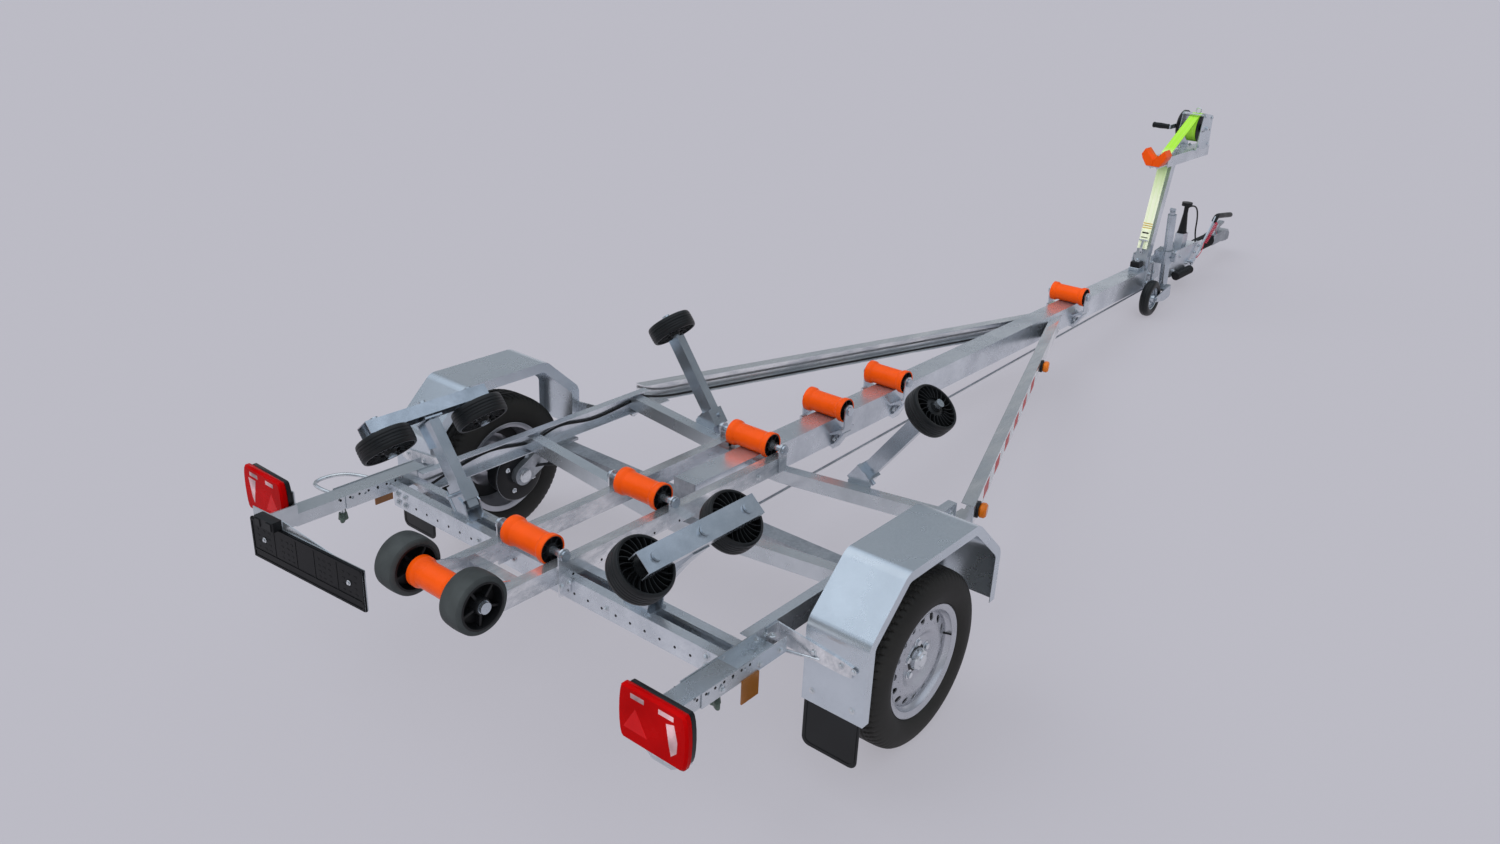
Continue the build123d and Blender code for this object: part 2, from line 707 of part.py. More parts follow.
def ear_plate(x, foot, radius, y0, y1):
    """Upright ear with a round head that a roller's pin passes through."""
    ear = side_plate([(x - radius, foot), (x + radius, foot), (x + radius, ROLLER_Z), (x - radius, ROLLER_Z)], y0, y1)
    ear += rod((x, y0, ROLLER_Z), (x, y1, ROLLER_Z), radius)
    return ear - rod((x, y0 - 1, ROLLER_Z), (x, y1 + 1, ROLLER_Z), PIN_R + PIN_GAP)


def stirrup(x):
    """Bracket astride the keel beam that carries a roller between two ears."""
    ear_in = roller_half + EAR_T
    ear_out = ear_in + EAR_T
    low, high = WING_Z["inner"], WING_Z["outer"]
    ear = ear_plate(x, sum(high) / 2, STIRRUP_EAR_R, ear_in, ear_out)
    wing = cross_plate(
        [(keel_half, low[0]), (ear_out, high[0]), (ear_out, high[1]), (ear_in, high[1]), (keel_half, low[1])],
        x - WING_HALF, x + WING_HALF,
    )
    low, high = LEG_Z["inner"], LEG_Z["outer"]
    leg = cross_plate(
        [
            (keel_half, low[0]), (keel_half + EAR_T, low[0]), (ear_out, high[0]),
            (ear_out - EAR_T, high[1]), (keel_half, low[1]),
        ],
        x - LEG_HALF, x + LEG_HALF,
    )
    side = ear + wing + leg
    strap = block(x - STRAP_HALF, x + STRAP_HALF, -keel_half - EAR_T, keel_half + EAR_T, low[0], keel_bottom)
    return strap + side + mirror(side, about=Plane.XZ)


def end_arm():
    """Plate from the ladder's rear end out to the end roller's pin."""
    y0 = LADDER_IN - 1
    y1 = y0 + EAR_T
    root_x = LADDER_REAR + END_ARM_LAP
    radius = STIRRUP_EAR_R
    outline = [
        (root_x, ladder_bottom + 4), (root_x, LADDER_TOP - 4),
        (END_X, ROLLER_Z + radius - 2), (END_X - radius + 6, ROLLER_Z), (END_X, ROLLER_Z - radius),
    ]
    arm = side_plate(outline, y0, y1) + rod((END_X, y0, ROLLER_Z), (END_X, y1, ROLLER_Z), radius)
    return arm - rod((END_X, y0 - 1, ROLLER_Z), (END_X, y1 + 1, ROLLER_Z), PIN_R + PIN_GAP)


def roller_ladder():
    """Two rails on the rear beam with ears for three rollers, a rear tie and the end rollers' arms."""
    rail = block(LADDER_REAR, LADDER_FRONT, LADDER_IN, ladder_out, ladder_bottom, LADDER_TOP)
    rail -= block(
        LADDER_REAR + SHEET, LADDER_FRONT - SHEET, LADDER_IN + SHEET, ladder_out - SHEET,
        ladder_bottom + SHEET, LADDER_TOP - SHEET,
    )
    for x in LADDER_ROLLER_X:
        foot = HOOK_BOTTOM if x == LADDER_ROLLER_X[-1] else ladder_bottom + EAR_T
        rail += ear_plate(x, foot, EAR_R, ladder_out, ladder_out + EAR_T)
    rail += end_arm()
    rail += block(LADDER_FRONT - SHOE_L, LADDER_FRONT, keel_half, LADDER_IN, ladder_bottom, SHOE_TOP)
    tie_x = LADDER_REAR + TIE_FROM
    tie = block(tie_x, tie_x + TIE_L, -LADDER_IN, LADDER_IN, ladder_bottom, LADDER_TOP - TIE_DROP)
    return tie + rail + mirror(rail, about=Plane.XZ)


def roller_pin(x, half):
    """Roller spindle with a head at each end."""
    pin = rod((x, -half, ROLLER_Z), (x, half, ROLLER_Z), PIN_R)
    for side in (-1, 1):
        pin += rod((x, side * half, ROLLER_Z), (x, side * (half + PIN_HEAD), ROLLER_Z), PIN_HEAD_R)
    return pin


stirrup_half = roller_half + 2 * EAR_T + 1
ladder_half = ladder_out + EAR_T + 1
end_half = END_WHEEL_IN + END_WHEEL_W + 5
add("roller_stirrups", [stirrup(x) for x in STIRRUP_X])
add("roller_ladder", roller_ladder())
pins = [(x, stirrup_half) for x in STIRRUP_X] + [(x, ladder_half) for x in LADDER_ROLLER_X] + [(END_X, end_half)]
add("roller_pins", [roller_pin(x, half) for x, half in pins])
for i, x in enumerate(STIRRUP_X + LADDER_ROLLER_X):
    add(f"keel_roller_{i + 1}", Pos(x, 0, ROLLER_Z) * keel_roller())
add("end_roller", Pos(END_X, 0, ROLLER_Z) * keel_roller())


def end_wheel():
    """Small solid wheel with a dish on its outer side."""
    half = END_WHEEL_W / 2
    bore = PIN_R + PIN_GAP
    tyre_r, hub_r = END_WHEEL_TYRE_R, END_WHEEL_HUB_R
    return turned([
        (-half, bore), (-half, hub_r), (-half + END_WHEEL_DISH, hub_r), (-half + END_WHEEL_DISH, tyre_r), (-half, tyre_r),
        (-half, END_WHEEL_R - 8), (-half + 10, END_WHEEL_R), (half - 10, END_WHEEL_R), (half, END_WHEEL_R - 8), (half, tyre_r),
        (half - END_WHEEL_BACK, tyre_r - 2), (half - END_WHEEL_BACK, hub_r + 2), (half, hub_r), (half, bore),
    ])


end_wheel_left = Pos(END_X, END_WHEEL_IN + END_WHEEL_W / 2, ROLLER_Z) * end_wheel()
add("end_wheel_left", end_wheel_left)
add("end_wheel_right", mirror(end_wheel_left, about=Plane.XZ))

# ---------------------------------------------------------------- bilge wheels
# name: x of the post, foot (y, z) of the post's centre line, length range along it, wheel centre (y, z)
REAR = dict(x=REAR_BEAM_X, foot=(385.0, 478.0), s0=31.0, s1=354.0, hub=(575.0, 744.0))
FRONT = dict(x=647.0, foot=(340.0, 430.0), s0=-12.0, s1=421.0, hub=(618.0, 805.0))
post_x = POST_W / 2
post_y = POST_D / 2
sleeve_x = post_x + SLEEVE_T
sleeve_y = post_y + SLEEVE_T
bilge_half = BILGE_W / 2
bolt_end = bilge_half + BOSS + 2.0


def on_post(spec, shape):
    """Shape drawn with the post's centre line as Z, put on a left-hand post."""
    y, z = spec["foot"]
    return Pos(spec["x"], y, z) * Rot(-POST_LEAN, 0, 0) * shape


def on_hub(spec, shape):
    """Shape drawn about the hub with the wheel's axle as Y, put in place on the left."""
    y, z = spec["hub"]
    return Pos(spec["x"], y, z) * Rot(BILGE_CANT, 0, 0) * shape


def post_sleeve(z0, z1):
    """Square sleeve round a post."""
    outer = block(-sleeve_x, sleeve_x, -sleeve_y, sleeve_y, z0, z1)
    return outer - block(-post_x, post_x, -post_y, post_y, z0 - 1, z1 + 1)


def bolt(x, y0, y1):
    """Bolt along the wheel's axle with a head at each end."""
    shank = rod((x, y0, 0), (x, y1, 0), BILGE_PIN_R)
    head = rod((x, y0 - BOLT_HEAD, 0), (x, y0, 0), BOLT_R)
    nut = rod((x, y1, 0), (x, y1 + BOLT_HEAD, 0), BOLT_R)
    return shank + head + nut


def plain_post(spec):
    """Rectangular post between its two ends."""
    return on_post(spec, block(-post_x, post_x, -post_y, post_y, spec["s0"], spec["s1"]))


def rear_post():
    """Post with the folded bracket that carries the rocker's pivot bolt."""
    seat = BRACKET_SEAT
    top = seat + BRACKET_T
    back = seat - BRACKET_L
    low = -post_x - BRACKET_DROP
    plate = block(-BRACKET_HALF, BRACKET_HALF, seat, top, low, BRACKET_TOP)
    fold = block(-BRACKET_HALF, BRACKET_HALF, back, top, low, low + BRACKET_T)
    web = block(-post_x, post_x, back + BRACKET_LAP, seat + BRACKET_T / 2, low, -post_x + BRACKET_T)
    nut_y = ROCKER_OUT + 5
    pivot = rod((0, seat - BRACKET_LAP, 0), (0, nut_y + BOLT_HEAD, 0), BILGE_PIN_R)
    pivot += rod((0, nut_y, 0), (0, nut_y + BOLT_HEAD, 0), BOLT_R)
    return plain_post(REAR) + on_hub(REAR, plate + fold + web + pivot)


def front_post():
    """Post whose end carries the wheel's bolt."""
    start = -bolt_end - COLLAR_L
    collar = rod((0, start, 0), (0, -bolt_end, 0), COLLAR_R)
    shank = rod((0, start, 0), (0, bolt_end, 0), BILGE_PIN_R)
    nut = rod((0, bolt_end, 0), (0, bolt_end + 2 * BOLT_HEAD, 0), BOLT_R)
    return plain_post(FRONT) + on_hub(FRONT, collar + shank + nut)


def rear_clamp():
    """Sleeve round the post on two cheeks and a foot that bolts to the rear beam, with its T-screw."""
    x = REAR["x"]
    y = REAR["foot"][0]
    bar_x = -sleeve_x - SCREW_L + SCREW_R
    screw = rod((-sleeve_x, 0, SCREW_AT), (-sleeve_x - SCREW_L, 0, SCREW_AT), SCREW_R)
    bar = rod((bar_x, 0, TURN_BAR[0]), (bar_x, 0, TURN_BAR[1]), BRACE_R)
    clamp = on_post(REAR, post_sleeve(*REAR_SLEEVE) + screw + bar)
    cheek = [(y + dy, z) for dy, z in REAR_CHEEK]
    for side in (-1, 1):
        clamp += cross_plate(cheek, x + side * sleeve_x, x + side * (sleeve_x + BRACKET_T))
    reach = sleeve_x + BRACKET_T
    foot_in, foot_out = CLAMP_FOOT
    clamp += block(x - reach, x + reach, y + foot_in, y + foot_out, REAR_BEAM_TOP, REAR_BEAM_TOP + BRACKET_T)
    return clamp


def front_clamp():
    """Sleeve round the post, held to the front cross member by a block and a plate."""
    x0 = CROSS_X["front"] + CROSS_W / 2
    y = FRONT["foot"][0]
    sleeve = post_sleeve(*FRONT_SLEEVE)
    sleeve += block(x0 - FRONT["x"], -sleeve_x, -sleeve_y, sleeve_y, *FRONT_SLEEVE)
    at = CROSS_BOLT_AT
    head = rod((0, -sleeve_y - BOLT_HEAD, at), (0, -sleeve_y, at), BOLT_R - SCREW_R)
    nut = rod((0, sleeve_y, at), (0, sleeve_y + 2 * BOLT_HEAD, at), BOLT_R - SCREW_R)
    plate = cross_plate([(y + dy, z) for dy, z in FRONT_PLATE], x0, x0 + BRACKET_T)
    return on_post(FRONT, sleeve + head + nut) + plate


def bilge_wheel():
    """Plastic wheel with a deep dish on each side and bosses round its bolt."""
    half = bilge_half
    dish = half - BILGE_DISH
    side = [
        (-half - BOSS, BILGE_PIN_R + PIN_GAP), (-half - BOSS, BOSS_R), (-dish, BOSS_R + 4),
        (-dish, BILGE_R - 20), (-half, BILGE_R - 18), (-half, BILGE_R - 6), (-half + 8, BILGE_R),
    ]
    return turned(side + [(-y, r) for y, r in reversed(side)])


def rocker():
    """Channel that pivots on the post and carries a wheel at each end."""
    half = ROCKER_W / 2
    wall_in, wall_out = ROCKER_IN - 2, ROCKER_OUT - SHEET
    beam = block(-ROCKER_HALF, ROCKER_HALF, ROCKER_IN, ROCKER_OUT, -half, half)
    beam -= block(-ROCKER_HALF - 1, ROCKER_HALF + 1, ROCKER_IN - 1, wall_out, -half + SHEET, half - SHEET)
    beam += rod((0, wall_in, 0), (0, ROCKER_OUT + SHEET, 0), ROCKER_BOSS_R)
    beam -= rod((0, 0, 0), (0, ROCKER_OUT + SHEET + 1, 0), BILGE_PIN_R + PIN_GAP)
    for side in (-1, 1):
        x = side * ROCKER_WHEEL_X
        beam += bolt(x, -bolt_end, ROCKER_OUT + 2)
        beam += rod((x, wall_in, 0), (x, wall_out, 0), BILGE_PIN_R + 4)
    return beam


add("bilge_posts", both_sides(rear_post()), both_sides(front_post()))
add("post_clamps", both_sides(rear_clamp()), both_sides(front_clamp()))
left_rocker = on_hub(REAR, rocker())
add("rocker_left", left_rocker)
add("rocker_right", mirror(left_rocker, about=Plane.XZ))
# name, post, distance ahead of the post's pin
for name, spec, dx in (
    ("bilge_wheel_rear", REAR, -ROCKER_WHEEL_X), ("bilge_wheel_mid", REAR, ROCKER_WHEEL_X), ("bilge_wheel_front", FRONT, 0),
):
    left = on_hub(spec, Pos(dx, 0, 0) * bilge_wheel())
    add(f"{name}_left", left)
    add(f"{name}_right", mirror(left, about=Plane.XZ))


# ---------------------------------------------------------------- lighting gear
arm_y0 = RAIL_OUT
arm_y1 = RAIL_OUT + ARM_U_W
arm_top = ARM_U_Z + ARM_U_H
lamp_rear = LAMP["x"] - LAMP["d"] / 2
bracket_x = LAMP["x"] + LAMP["d"] / 2
# the inner edge of the lamp's back plate, which the number plate's hanger stands against
lamp_side = LAMP["y"] - LAMP["w"] / 2 - 1


def light_arm():
    """Upward-open channel on the side rail's rear end, with a row of holes in each flange."""
    arm = block(ARM_U_REAR, ARM_U_FRONT, arm_y0, arm_y1, ARM_U_Z, arm_top)
    arm -= block(ARM_U_REAR - 1, ARM_U_FRONT + 1, arm_y0 + SHEET, arm_y1 - SHEET, ARM_U_Z + SHEET, arm_top + 1)
    z = arm_top - ARM_HOLE_DROP
    for i in range(ARM_HOLES):
        x = ARM_U_REAR + ARM_HOLE_PITCH * (i + 0.5)
        arm -= rod((x, arm_y0 - 1, z), (x, arm_y1 + 1, z), ARM_HOLE_R)
    return arm


def extension(front):
    """Tube inside the arm, from the lamp's back plate forward to the given x."""
    gap = SHEET + SLEEVE_GAP
    tube = block(EXTENSION_REAR, front, arm_y0 + gap, arm_y1 - gap, ARM_U_Z + SHEET, arm_top - SHEET)
    y, z = LAMP["y"], LAMP["z"]
    low, high = LAMP_PLATE_INNER
    outline = [(lamp_side, z + low)] + [(y + dy, z + dz) for dy, dz in LAMP_PLATE] + [(lamp_side, z + high)]
    return tube + cross_plate(outline, bracket_x, bracket_x + LAMP_PLATE_T)


def lamp():
    """Tail lamp: flat top and bottom, cut corners."""
    y, z, w, h = LAMP["y"], LAMP["z"], LAMP["w"] / 2, LAMP["h"] / 2
    cut, rise = LAMP_CUT
    # one quarter: distance out, height
    quarter = [(w - cut, h), (w - 6, h - rise), (w, 0)]
    right_half = quarter + [(dy, -dz) for dy, dz in reversed(quarter[:2])]
    outline = right_half + [(-dy, -dz) for dy, dz in right_half]
    return cross_plate([(y + dy, z + dz) for dy, dz in outline], lamp_rear, bracket_x, bend=LAMP_CORNER)


def plate_holder():
    """Number plate board with the folded sheet that hangs it from the left lamp bracket, and its lamp."""
    w, h, t = PLATE["w"] / 2, PLATE["h"] / 2, PLATE["t"]
    board = block(-t / 2, t / 2, -w, w, -h, h)
    sheet = cross_plate([(w - dy, dz) for dy, dz in BOARD_SHEET], t / 2, t / 2 + SHEET)
    lamp_y = w - PLATE_LAMP["at"]
    lamp_z = h + BOARD_LIFT
    plate_lamp = block(
        -t / 2 - PLATE_LAMP["d"], t / 2, lamp_y, lamp_y + PLATE_LAMP["w"], lamp_z, lamp_z + PLATE_LAMP["h"],
    )
    at = Pos(PLATE["x"], PLATE["y"], PLATE["z"]) * Rot(0, 0, PLATE["yaw"])
    side = lamp_side - HANGER_T - HANGER_GAP
    hanger = block(PLATE["x"] - 2 * t / 2, bracket_x + LAMP_PLATE_T, side, side + HANGER_T, *HANGER_Z)
    hanger += block(bracket_x, bracket_x + LAMP_PLATE_T, side, lamp_side, *HANGER_Z)
    return at * (board + sheet + plate_lamp) + hanger


def arm_reflector():
    """Amber plate hung on the arm's outer side."""
    x, top = ARM_REFLECTOR["x"], ARM_REFLECTOR["top"]
    half = ARM_REFLECTOR["w"] / 2
    return block(x - half, x + half, arm_y1, arm_y1 + ARM_REFLECTOR["t"], top - ARM_REFLECTOR["h"], top)


add("light_arms", both_sides(light_arm()))
add("arm_reflectors", both_sides(arm_reflector()))
add("lamp_brackets", extension(LEFT_TUBE_FRONT), mirror(extension(RIGHT_TUBE_FRONT), about=Plane.XZ))
add("tail_lamps", both_sides(lamp()))
add("plate_holder", plate_holder())


def marker(x):
    """Side marker on the strut's outer face."""
    y = STRUT_REAR_Y - (x - STRUT_REAR_X) * STRUT_SLOPE
    turn = -math.degrees(math.atan(STRUT_SLOPE))
    return Pos(x, y, (rail_bottom + RAIL_TOP) / 2) * Rot(0, 0, turn) * Pos(0, MARKER_SIZE[1] / 2, 0) * Box(*MARKER_SIZE)


add("side_markers", *[both_sides(marker(x)) for x in MARKER_X])


# ---------------------------------------------------------------- winch post and winch
stop_foot_z = WINCH_ARM_TOP - WINCH_ARM_H + STOP_RISE


def post_face(z):
    """X of the winch post's rear face at the height z."""
    return WINCH_POST_X + WINCH_POST_LEAN * (z - KEEL_TOP)


def winch_post():
    """Leaning channel on the keel beam, with foot cheeks and a hook lug on its rear face."""
    half = WINCH_POST_W / 2
    foot, top = KEEL_TOP, WINCH_ARM_TOP - WINCH_PLATE_T
    d, t = WINCH_POST_D, WINCH_POST_T
    outline = [(post_face(foot), foot), (post_face(foot) + d, foot), (post_face(top) + d, top), (post_face(top), top)]
    low, high = foot - t, top + t
    hollow = [
        (post_face(low) + t, low), (post_face(low) + 2 * d, low), (post_face(high) + 2 * d, high), (post_face(high) + t, high),
    ]
    shell = side_plate(outline, -half, half) - side_plate(hollow, -half + t, half - t)
    cheek = side_plate(CHEEK_SIDE, keel_half, keel_half + CHEEK_T)
    spacer = block(SPACER["x0"], SPACER["x1"], half, keel_half, KEEL_TOP, SPACER["top"])
    side = cheek + spacer
    lug_x = post_face((LUG["z0"] + LUG["z1"]) / 2)
    lug = block(lug_x - LUG["reach"], lug_x + t - 1, -LUG["half"], LUG["half"], LUG["z0"], LUG["z1"])
    return shell + side + mirror(side, about=Plane.XZ) + lug


def winch_arm():
    """Channel on the post's head that carries the winch and the bow stop's seat."""
    half = WINCH_POST_W / 2 + PIN_GAP
    t = WINCH_PLATE_T
    z0 = WINCH_ARM_TOP - WINCH_ARM_H
    arm = block(WINCH_ARM_REAR, WINCH_ARM_FRONT, -half - t, half + t, z0, WINCH_ARM_TOP)
    arm -= block(WINCH_ARM_REAR - 1, WINCH_ARM_FRONT + 1, -half, half, z0 - 1, WINCH_ARM_TOP - t)
    gap = STRAP_W / 2 + STRAP_T
    slot_x = STRAP_TURN[0]
    arm -= block(slot_x - 24, slot_x + 40, -gap, gap, WINCH_ARM_TOP - t - 1, WINCH_ARM_TOP + 1)
    seat = block(STOP_REAR + STOP_SEAT_IN, WINCH_ARM_REAR, -STOP_FOOT, STOP_FOOT, stop_foot_z - CHEEK_T, stop_foot_z)
    seat += block(WINCH_ARM_REAR - 5, WINCH_ARM_REAR, -half - t, half + t, stop_foot_z - CHEEK_T, WINCH_ARM_TOP)
    return arm + seat


def bow_stop():
    """V block that takes the boat's stem."""
    z0 = stop_foot_z
    right_half = [(-STOP_FOOT, z0)] + [(-STOP_W + dy, z0 + dz) for dy, dz in STOP_HORN]
    outline = right_half + [(0, z0 + STOP_NOTCH)] + [(-y, z) for y, z in reversed(right_half)]
    return cross_plate(outline, STOP_REAR, STOP_REAR + STOP_L)


def strap_run(start, end):
    """Straight length of webbing between two (x, z) points."""
    (x0, z0), (x1, z1) = start, end
    length = math.hypot(x1 - x0, z1 - z0)
    nx, nz = -(z1 - z0) / length * STRAP_T / 2, (x1 - x0) / length * STRAP_T / 2
    outline = [(x0 + nx, z0 + nz), (x1 + nx, z1 + nz), (x1 - nx, z1 - nz), (x0 - nx, z0 - nz)]
    return side_plate(outline, -STRAP_W / 2, STRAP_W / 2)


def strap():
    """Webbing from the drum over the arm's rear end and down the post to the lug."""
    radius = DRUM_R + PIN_GAP + STRAP_T / 2
    turn_x, turn_z = STRAP_TURN
    dx, dz = turn_x - DRUM_X, turn_z - DRUM_Z
    angle = math.atan2(dz, dx) - math.acos(radius / math.hypot(dx, dz))
    start = (DRUM_X + radius * math.cos(angle), DRUM_Z + radius * math.sin(angle))
    foot = (post_face(STRAP_FOOT_Z) - STRAP_FOOT_OUT, STRAP_FOOT_Z)
    fold = rod((turn_x, -STRAP_W / 2, turn_z), (turn_x, STRAP_W / 2, turn_z), STRAP_T / 2)
    return strap_run(start, STRAP_TURN) + strap_run(STRAP_TURN, foot) + fold


def winch_frame():
    """Base and two side plates that carry the drum's shaft."""
    t, y = WINCH_PLATE_T, WINCH_PLATE_Y
    z0 = WINCH_ARM_TOP
    x0, x1 = DRUM_X - FRAME_REAR, DRUM_X + FRAME_FRONT
    side = side_plate([(x0, z0), (x1, z0)] + [(DRUM_X + dx, DRUM_Z + dz) for dx, dz in FRAME_TOP], y, y + t)
    side -= rod((DRUM_X, y - 1, DRUM_Z), (DRUM_X, y + t + 1, DRUM_Z), PIN_R + PIN_GAP)
    base = block(x0, x1, -y - t, y + t, z0, z0 + t)
    return base + side + mirror(side, about=Plane.XZ)


def winch_drum():
    """Drum with its wound strap between two flanges, on its shaft."""
    half = STRAP_W / 2 + 1
    flange, rim_r = half + SHEET, DRUM_R - 2
    end = WINCH_PLATE_Y + BOLT_HEAD
    return turned([
        (-end, 0), (-end, PIN_R), (-flange, PIN_R), (-flange, rim_r), (-half, rim_r), (-half, DRUM_R),
        (half, DRUM_R), (half, rim_r), (flange, rim_r), (flange, PIN_R), (end, PIN_R), (end, 0),
    ])


cover_in = WINCH_PLATE_Y + WINCH_PLATE_T
cover_out = cover_in + COVER_L


def winch_cover():
    """Round gear cover on the left side plate."""
    bore = PIN_R + PIN_GAP
    wall = cover_out - CRANK_T + 2
    return turned([
        (cover_in, COVER_BORE), (cover_in, COVER_R), (cover_out - 8, COVER_R), (cover_out, COVER_R - 10),
        (cover_out, bore), (wall, bore), (wall, COVER_BORE),
    ])


def winch_crank():
    """Crank shaft, arm and grip; the arm points to the rear."""
    y = cover_out + CRANK_T + 2
    out = y + CRANK_T
    half = CRANK_HALF
    shaft = rod((0, cover_in + CRANK_T, 0), (0, out, 0), PIN_R)
    arm = side_plate([(-CRANK_ARM - 10, -half + 2), (half, -half), (half, half), (-CRANK_ARM - 10, half - 2)], y, out)
    pin = rod((-CRANK_ARM, out, 0), (-CRANK_ARM, out + 8, 0), GRIP_PIN_R)
    grip = rod((-CRANK_ARM, out + 8, 0), (-CRANK_ARM, out + 8 + GRIP_L, 0), GRIP_R)
    return shaft + arm + pin + grip


at_drum = Pos(DRUM_X, 0, DRUM_Z)
add("winch_post", winch_post())
add("winch_arm", winch_arm())
add("bow_stop", bow_stop())
add("winch_strap", strap())
add("winch_frame", winch_frame())
add("winch_drum", at_drum * winch_drum())
add("winch_cover", at_drum * winch_cover())
add("winch_crank", at_drum * winch_crank())

# ---------------------------------------------------------------- jockey wheel
jockey_x = JOCKEY_FOOT[0] - JOCKEY_TRAIL
jockey_z = JOCKEY_FOOT[1] - JOCKEY_DROP
at_foot = Pos(JOCKEY_FOOT[0], JOCKEY_Y, JOCKEY_FOOT[1]) * Rot(0, -JOCKEY_LEAN, 0)
jockey_turn = math.radians(JOCKEY_LEAN)
# the wheel's centre in the tube's own frame
hub_u = -JOCKEY_TRAIL * math.cos(jockey_turn) - JOCKEY_DROP * math.sin(jockey_turn)
hub_w = JOCKEY_TRAIL * math.sin(jockey_turn) - JOCKEY_DROP * math.cos(jockey_turn)


def upright(radius, z0, z1):
    """Round bar along the tube's axis."""
    return rod((0, 0, z0), (0, 0, z1), radius)


def jockey_clamp():
    """Split clamp on a plate that stands against the winch post's right cheek."""
    y_in = -(keel_half + CHEEK_T) - JOCKEY_Y
    z0, z1 = CLAMP_Z
    ear_y = -JOCKEY_TUBE_R - CLAMP_EAR_L
    bolt_y = -JOCKEY_TUBE_R - 2 * CLAMP_WALL
    bolt_z = (z0 + z1) / 2
    plate = block(*CLAMP_PLATE, y_in - CHEEK_T, y_in, CLAMP_PLATE_Z0, z1)
    body = block(-CLAMP_EAR_L, CLAMP_EAR_L, 0, y_in, z0, z1) + upright(JOCKEY_TUBE_R + CLAMP_WALL, z0, z1)
    ears = block(-CLAMP_WALL, CLAMP_WALL, ear_y, 0, z0 + 15, z1 - 15)
    screw = rod((-CLAMP_EAR_L, bolt_y, bolt_z), (CLAMP_EAR_L, bolt_y, bolt_z), CHEEK_T)
    return plate + body + ears + screw - upright(JOCKEY_TUBE_R, z0 - 1, z1 + 1)


def jockey_tube():
    """Outer tube with its crank head."""
    top = JOCKEY_TUBE_FROM + JOCKEY_TUBE_L
    bore = JOCKEY_INNER_R + PIN_GAP
    tube = upright(JOCKEY_TUBE_R, JOCKEY_TUBE_FROM, top) - upright(bore, JOCKEY_TUBE_FROM - 1, top - 20)
    head = upright(16, top, top + 18) + upright(CLAMP_WALL, top + 18, top + 30)
    knob = rod((0, -16, top + 30), (0, 16, top + 30), CLAMP_WALL)
    return tube + head + knob


def jockey_inner():
    """Sliding tube with the stud that the fork swivels on."""
    top = JOCKEY_TUBE_FROM + JOCKEY_TUBE_L - 40
    neck = FORK_TOP + 1
    under = FORK_TOP - FORK_PLATE - 1
    stud = upright(JOCKEY_STUD_R, under - 6, neck) + upright(JOCKEY_STUD_R + 6, under - 7, under)
    return upright(JOCKEY_INNER_R, neck, top) + stud


def jockey_fork():
    """Two plates from the swivel head back to the wheel's axle."""
    half = JOCKEY_W / 2 + FORK_GAP
    low = FORK_TOP - FORK_PLATE
    outline = [(hub_u - 18, hub_w - 12), (hub_u - 12, hub_w + 16), (FORK_REAR, FORK_TOP)] + FORK_SIDE
    fork = block(FORK_REAR, FORK_SIDE[0][0], -half - FORK_T, half + FORK_T, low, FORK_TOP)
    for side in (-1, 1):
        fork += side_plate(outline, side * half, side * (half + FORK_T))
    end = half + FORK_T + CHEEK_T
    fork += rod((hub_u, -end, hub_w), (hub_u, end, hub_w), BILGE_PIN_R)
    return fork - upright(JOCKEY_STUD_R + PIN_GAP, low - 1, FORK_TOP + 1)


def jockey_wheel():
    """Solid tyre on a dished hub."""
    half = JOCKEY_W / 2
    side = [(half + BOSS, BILGE_PIN_R + PIN_GAP), (half + BOSS, BOSS_R)] + [(half - d, r) for d, r in JOCKEY_SIDE]
    return turned(side + [(-y, r) for y, r in reversed(side)])


add("jockey_clamp", at_foot * jockey_clamp())
add("jockey_tube", at_foot * jockey_tube())
add("jockey_inner", at_foot * jockey_inner())
add("jockey_fork", at_foot * jockey_fork())
add("jockey_wheel", Pos(jockey_x, JOCKEY_Y, jockey_z) * jockey_wheel())


# ---------------------------------------------------------------- coupling
def coupling_housing():
    """Side plates on the beam's nose, the overrun tube between them and the lever and plug brackets."""
    side = side_plate(HOUSING_SIDE, keel_half, keel_half + HOUSING_T)
    body = block(KEEL_FRONT + 4, WEB_FRONT, -keel_half, keel_half, *WEB_Z)
    body += rod((BULKHEADS[0][0], 0, SHAFT_Z), (HOUSING_FRONT, 0, SHAFT_Z), OUTER_TUBE_R)
    for x, low in BULKHEADS:
        body += block(x, x + BULKHEAD_T, -keel_half, keel_half, low, WEB_Z[1])
    body += side + mirror(side, about=Plane.XZ)
    bore_rear = BULKHEADS[0][0] + 2 * BULKHEAD_T
    body -= rod((bore_rear, 0, SHAFT_Z), (HOUSING_FRONT + 1, 0, SHAFT_Z), SHAFT_R + PIN_GAP)
    post = block(PLUG_POST["x0"], PLUG_POST["x1"], -PLUG_POST["half"], PLUG_POST["half"], WEB_Z[1], PLUG_POST["top"])
    x, z = LEVER_PIVOT
    pivot = rod((x, -keel_half, z), (x, LEVER_Y - LEVER_PIVOT_R, z), LEVER_PIVOT_R)
    return body + post + pivot


def coupling_head():
    """Overrun shaft with the ball coupling on its end."""
    shaft = rod((BULKHEADS[0][0] + 30, 0, SHAFT_Z), (HEAD_REAR + 20, 0, SHAFT_Z), SHAFT_R)
    low, high = CUP_Z
    head = side_plate(HEAD_SIDE, -HEAD_HALF, HEAD_HALF) + rod((BALL_X, 0, low), (BALL_X, 0, high), CUP_R)
    head -= rod((BALL_X, 0, low - 1), (BALL_X, 0, BALL_TOP), BALL_R)
    return shaft + head + side_plate(HANDLE_SIDE, -HANDLE_HALF, HANDLE_HALF)


